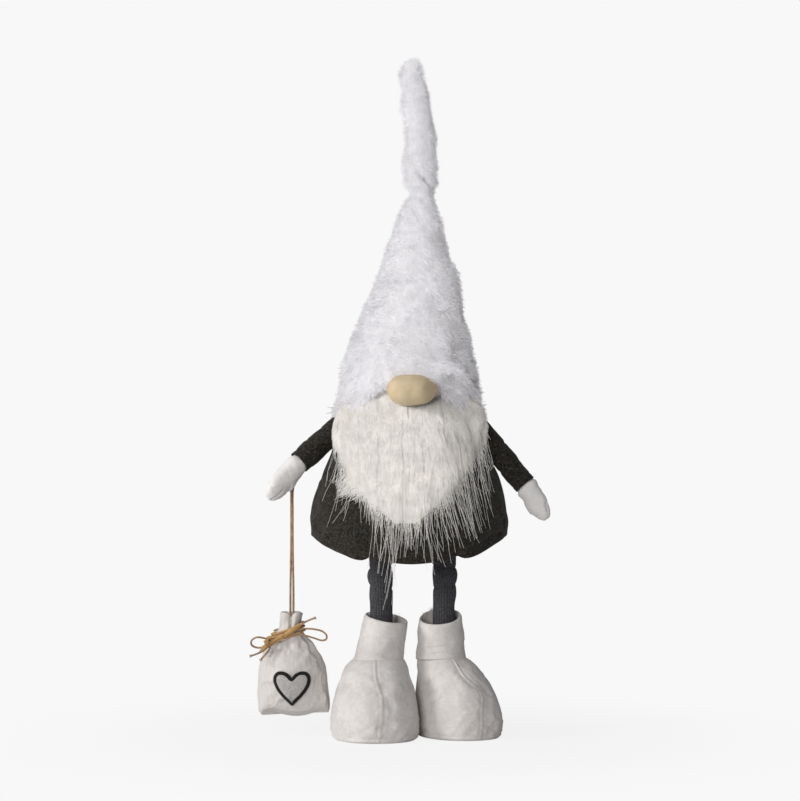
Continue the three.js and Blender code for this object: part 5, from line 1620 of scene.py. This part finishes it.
    def lining(self, side, collar, grid, height):
        """Short fleece on the inside of the collar, seen past the leg"""
        inside = (np.arange(len(height)) > 60) * ease(height, 88, 96)
        middle = grid.mean(axis=(0, 1))
        behind, aside = ease(grid[..., 1] - middle[1], 1, 7), ease(middle[0] - grid[..., 0], -4, 6)
        mask = (inside[:, None] * behind * (1 if side == "left" else 0.5) * (0.3 + 0.7 * aside)).ravel()
        lay = unit(((middle - grid) * (1, 1, 0)).reshape(-1, 3)) * 0.6 + (0, 0, 0.8)
        lay = unit(lay + 0.5 * np.stack([waves(grid.reshape(-1, 3), 5, seed) for seed in (136, 137, 138)], -1))
        fleece = once(fur_material, "boot_fleece", "C4C0BC", "EFEDEB")
        inputs = {"Length": sizes().pile_length, "Thickness": sizes().pile_thickness, "Tousle": 0.5, "Bend": 0.5}
        share = 0.5 + 0.2 * waves(grid.reshape(-1, 3), 6, 139)
        fur = grow_fur(f"{side}_boot_fleece", collar, fleece, mask, lay, share, 260, 41, **inputs)
        dress(sheer(fur), f"{side}_boot", "boot_felt")


# ---------------------------------------------------------------- bag
BAG_BOTTOM, BAG_NECK, BAG_TOP = 21, 84, 109
# The heart's right half, from its notch down to its point
HEART = [(0, 8.4), (2.6, 11.6), (7, 13.9), (12.6, 13.6), (16, 10), (16.3, 4.5), (13.6, -2), (9, -8), (4.2, -13),
         (0.5, -16.9)]
HEART_AT = (0.6, 45.6)


def bag_outline(z):
    """Half width, half depth and shift of the bag at some heights, smooth between its stations"""
    return curve_at(BAG, z)


def bag_front(x, z, off):
    """How far forward a point off the bag's front lies, about its own middle"""
    half, depth, shift = bag_outline(z).T
    share = np.clip(np.abs(x - shift) / half, 0, 0.999)
    return -(depth + off) * (1 - share**2) ** 0.5


def heart_outline(border):
    """A heart with broad shoulders, in millimetres about its middle, drawn in by a border"""
    right = route(np.c_[HEART, np.zeros(len(HEART))], 0.25)[:, :2]
    right = right[np.linspace(0, len(right) - 1, 60).astype(int)]
    left = right[::-1][1:-1] * (-0.98, 1)
    ring = np.vstack([right, left])
    if border:
        nearby = np.roll(ring, -1, 0) - np.roll(ring, 1, 0)
        inward = unit(np.stack([-nearby[:, 1], nearby[:, 0]], -1))
        inward *= np.sign((inward * -ring).sum(1).mean())
        ring = ring + inward * border
        ring = ring[(np.arange(len(ring)) < len(right)) == (ring[:, 0] > -1e-6)]
    return ring


class TomteBag(bpy.types.Operator):
    """The small bag with its gathered neck, and the felt heart on it"""
    bl_idname = "tomte.bag"
    bl_label = "Bag"

    def execute(self, context):
        linen = once(linen_cloth)
        give = self.stuffing()
        self.bag(linen, give)
        self.hearts(give)
        return {"FINISHED"}

    def form(self, heights, angle):
        """The bag before its folds, and its squareness at each height"""
        half, depth, shift = bag_outline(heights).T
        square = 2.0 + 1.6 * (1 - ease(heights, 21, 36))
        shape = [rounded(angle, q) for q in square]
        c, s = np.array([p[0] for p in shape]), np.array([p[1] for p in shape])
        z = heights[:, None] * np.ones(len(angle))
        return np.stack([shift[:, None] + half[:, None] * c, depth[:, None] * s, z], -1)

    def stuffing(self):
        """How the stuffing swells the cloth between the side seams, the bottom seam and the tied neck"""
        grid = self.form(np.linspace(BAG_BOTTOM, BAG_TOP, 45), around(72)) + BAG_AT

        def held(points):
            z = points[:, 2]
            half, _, shift = bag_outline(z).T
            side = np.abs(points[:, 0] - BAG_AT[0] - shift) / half
            return np.maximum.reduce([ease(side, 0.88, 0.96), ease(z, 80, 86), 1 - ease(z, 22, 26)])
        return stuffed(*skin(grid), held, 2.6, 2.6, 0.08)

    def bag(self, linen, give):
        """A stuffed pouch, gathered at the neck, with a ruffle of two lobes over it"""
        columns = 200
        angle = around(columns)
        heights = np.r_[np.linspace(BAG_BOTTOM, BAG_NECK, 84), np.linspace(BAG_NECK, BAG_TOP, 40)[1:]]
        z = heights[:, None] * np.ones(columns)
        grid = self.form(heights, angle)
        outward = unit(np.stack([np.cos(angle), np.sin(angle), np.zeros(columns)], -1))[None]
        swell = (give(grid + BAG_AT) * outward).sum(axis=-1, keepdims=True)
        grid += outward * np.maximum(swell, -0.2)
        turn = angle + 0.12 * np.sin((z - 60) / 12)
        pleat = 0.5 + 0.3 * np.cos(turn * 7 + 0.7) + 0.2 * np.cos(turn * 12 + 2.1)
        deep = 2.4 * ease(z, 64, 82) * (1 - ease(z, 86, 91)) + 1.8 * ease(z, 86, 91) * (1 - 0.6 * ease(z, 98, 108))
        gather = -deep * (1 - pleat) ** 1.3
        gather -= 2.2 * bump(np.cos(angle - FRONT + 0.42), 1, 0.012) * ease(z, 66, 78) * (1 - ease(z, 90, 93))
        front = FRONT % (2 * math.pi)
        lobes = bump(angle, front - 0.75, 0.5) + 1.25 * bump(angle, front + 0.6, 0.55)
        lobes += 0.9 * bump(angle, 1.1, 0.5) + 0.9 * bump(angle, 2.3, 0.5)
        split = bump(angle, front + 0.02, 0.2)
        ruffle = (2.0 * lobes - 2.6 * split - 0.6) * ease(z, 97, 107)
        puff = (0.55 * waves(grid, 13, 141) + 0.25 * waves(grid, 5, 142)) * ease(z, 23, 34)
        grid += outward * (gather + ruffle + puff)[..., None]
        x = grid[..., 0]
        wave = -1.9 * bump(x, 4, 11) + 1.7 * bump(x, -17, 7) + 2.4 * bump(x, 25, 8) - 1.6 * bump(x, -27, 4)
        grid[..., 2] += wave * (1 - ease(z, BAG_BOTTOM, 40))
        side = bump(np.abs(np.cos(angle)), 1, 0.002) * np.ones_like(z)
        grid += outward * (0.8 * side * (1 - ease(z, 60, 80)))[..., None]
        grid[..., 2] += (0.9 * lobes - 3.4 * split - 0.6) * ease(z, 98, 109)
        rim = grid[-1]
        middle = rim.mean(axis=0)
        lining = ((0.05, 0.6), (0.12, 0.5), (0.2, -0.6), (0.34, -3), (0.5, -6), (0.6, -10), (0.66, -14))
        rows = [rim + (middle - rim) * share * (1, 1, 0) + (0, 0, rise) for share, rise in lining]
        grid = np.concatenate([grid, np.array(rows)]) + BAG_AT
        bottom = grid[:1].copy()
        bottom[..., 1] = BAG_AT[1] + (bottom[..., 1] - BAG_AT[1]) * 0.3
        bottom[..., 2] -= 0.5
        piece = mesh_object("bag_cloth", *skin(np.concatenate([bottom, grid])), linen)
        dress(piece, "hanging_bag", "linen", "bag")

    def hearts(self, give):
        """A black felt heart, and a smaller grey one on it"""
        forward = np.array((0, 1, 0))
        black = small_felt("heart_rim_felt", "121111", "2C2A2A")
        grey = small_felt("heart_felt", "9A9693", "CCC8C5")
        thick = sizes().felt_thickness / MM
        section = [(1.0, 0.0), (1.0, thick * 0.6), (0.985, thick * 0.9), (0.95, thick), (0.85, thick), (0.7, thick),
                   (0.5, thick), (0.3, thick), (0.12, thick)]
        for name, border, under, material, node_name in (
                ("heart_black", 0.0, 0.35, black, "heart_backing"), ("heart_grey", 3.0, 0.7 + thick, grey, "heart")):
            ring = heart_outline(border) + HEART_AT
            middle = ring.mean(axis=0)
            rows = []
            for share, off in section:
                flat = middle + (ring - middle) * share
                y = bag_front(flat[:, 0], flat[:, 1], under + off + 0.45)
                y -= 0.12 * waves(np.c_[flat, y * 0], 4, 151)
                row = np.stack([flat[:, 0], y, flat[:, 1]], -1) + BAG_AT
                rows.append(row + np.minimum(give(row) * forward, 0.1))
            piece = mesh_object(name, *skin(rows), material)
            dress(piece, "hanging_bag", "black_felt" if border == 0 else "grey_felt", node_name)


# ---------------------------------------------------------------- inside
INSIDE = {
    "plastic": ("left_leg_outer_tube", "right_leg_outer_tube", "left_leg_inner_tube", "right_leg_inner_tube",
                "left_foot_socket", "right_foot_socket"),
    "board": ("base_board",),
    "steel": ("shoulder_wire", "hat_wire", "hat_tip_wire", "left_arm_wire", "right_arm_wire"),
    "sand": ("left_boot_weight", "right_boot_weight"),
    "stuffing": ("torso_filling", "hat_filling", "left_arm_filling", "right_arm_filling", "left_boot_filling",
                 "right_boot_filling", "bag_filling"),
}


class TomteInside(bpy.types.Operator):
    """Materials for the pieces inside: tubes, wires, board, sand and stuffing"""
    bl_idname = "tomte.inside"
    bl_label = "Inside"

    def execute(self, context):
        made = {
            # Polypropylene, moulded: satin grey, faintly clouded where it flowed
            "plastic": grained("grey_plastic", "7C8084", "9A9EA2", 0.45, 3.333),
            # Hardboard, pressed and sawn: dull brown, in chips of 2 mm
            "board": grained("board", "8A7858", "AA9874", 0.85, 2.0),
            # Steel wire, drawn: bright grey, barely marked
            "steel": grained("wire_steel", "8A9096", "A8AEB4", 0.35, 1.25, 1.0, 0.1),
            # Sand, washed: pale and rough, its grains drawn 0.7 mm
            "sand": grained("sand_grains", "9C8C6C", "C8B898", 0.95, 0.6667, 0.0, 0.6),
            # Polyester filling, carded: white and woolly, in tufts of 2.5 mm
            "stuffing": grained("fibre_stuffing", "DCDCDA", "F4F4F2", 1.0, 2.5, 0.0, 0.8),
        }
        for kind, names in INSIDE.items():
            for name in names:
                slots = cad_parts[name].data.materials
                slots.clear()
                slots.append(made[kind])
        return {"FINISHED"}


# ---------------------------------------------------------------- panel and start
class TomtePanel(bpy.types.Panel):
    """Lists the pieces and their sizes"""
    bl_idname = "VIEW3D_PT_tomte"
    bl_label = "Tomte"
    bl_space_type = "VIEW_3D"
    bl_region_type = "UI"
    bl_category = "Tomte"

    def draw(self, context):
        column = self.layout.column()
        for name in TomteSizes.__annotations__:
            column.prop(context.scene.tomte_sizes, name)
        column.prop(context.scene.tomte_colours, "backdrop")
        for step in STEPS:
            column.operator(step.bl_idname)


STEPS = (TomteStage, TomteTwine, TomteHat, TomteNose, TomteCoat, TomteBeard, TomteArms, TomteLegs, TomteBoots,
         TomteBag, TomteInside)
CLASSES = (TomteSizes, TomteColours, *STEPS, TomtePanel)


def register():
    for item in CLASSES:
        bpy.utils.register_class(item)
    bpy.types.Scene.tomte_sizes = bpy.props.PointerProperty(type=TomteSizes)
    bpy.types.Scene.tomte_colours = bpy.props.PointerProperty(type=TomteColours)


def unregister():
    del bpy.types.Scene.tomte_colours
    del bpy.types.Scene.tomte_sizes
    for item in reversed(CLASSES):
        bpy.utils.unregister_class(item)


def main():
    """Makes every piece in order"""
    register()
    for step in STEPS:
        group, name = step.bl_idname.split(".")
        getattr(getattr(bpy.ops, group), name)()


if __name__ == "__main__":
    main()
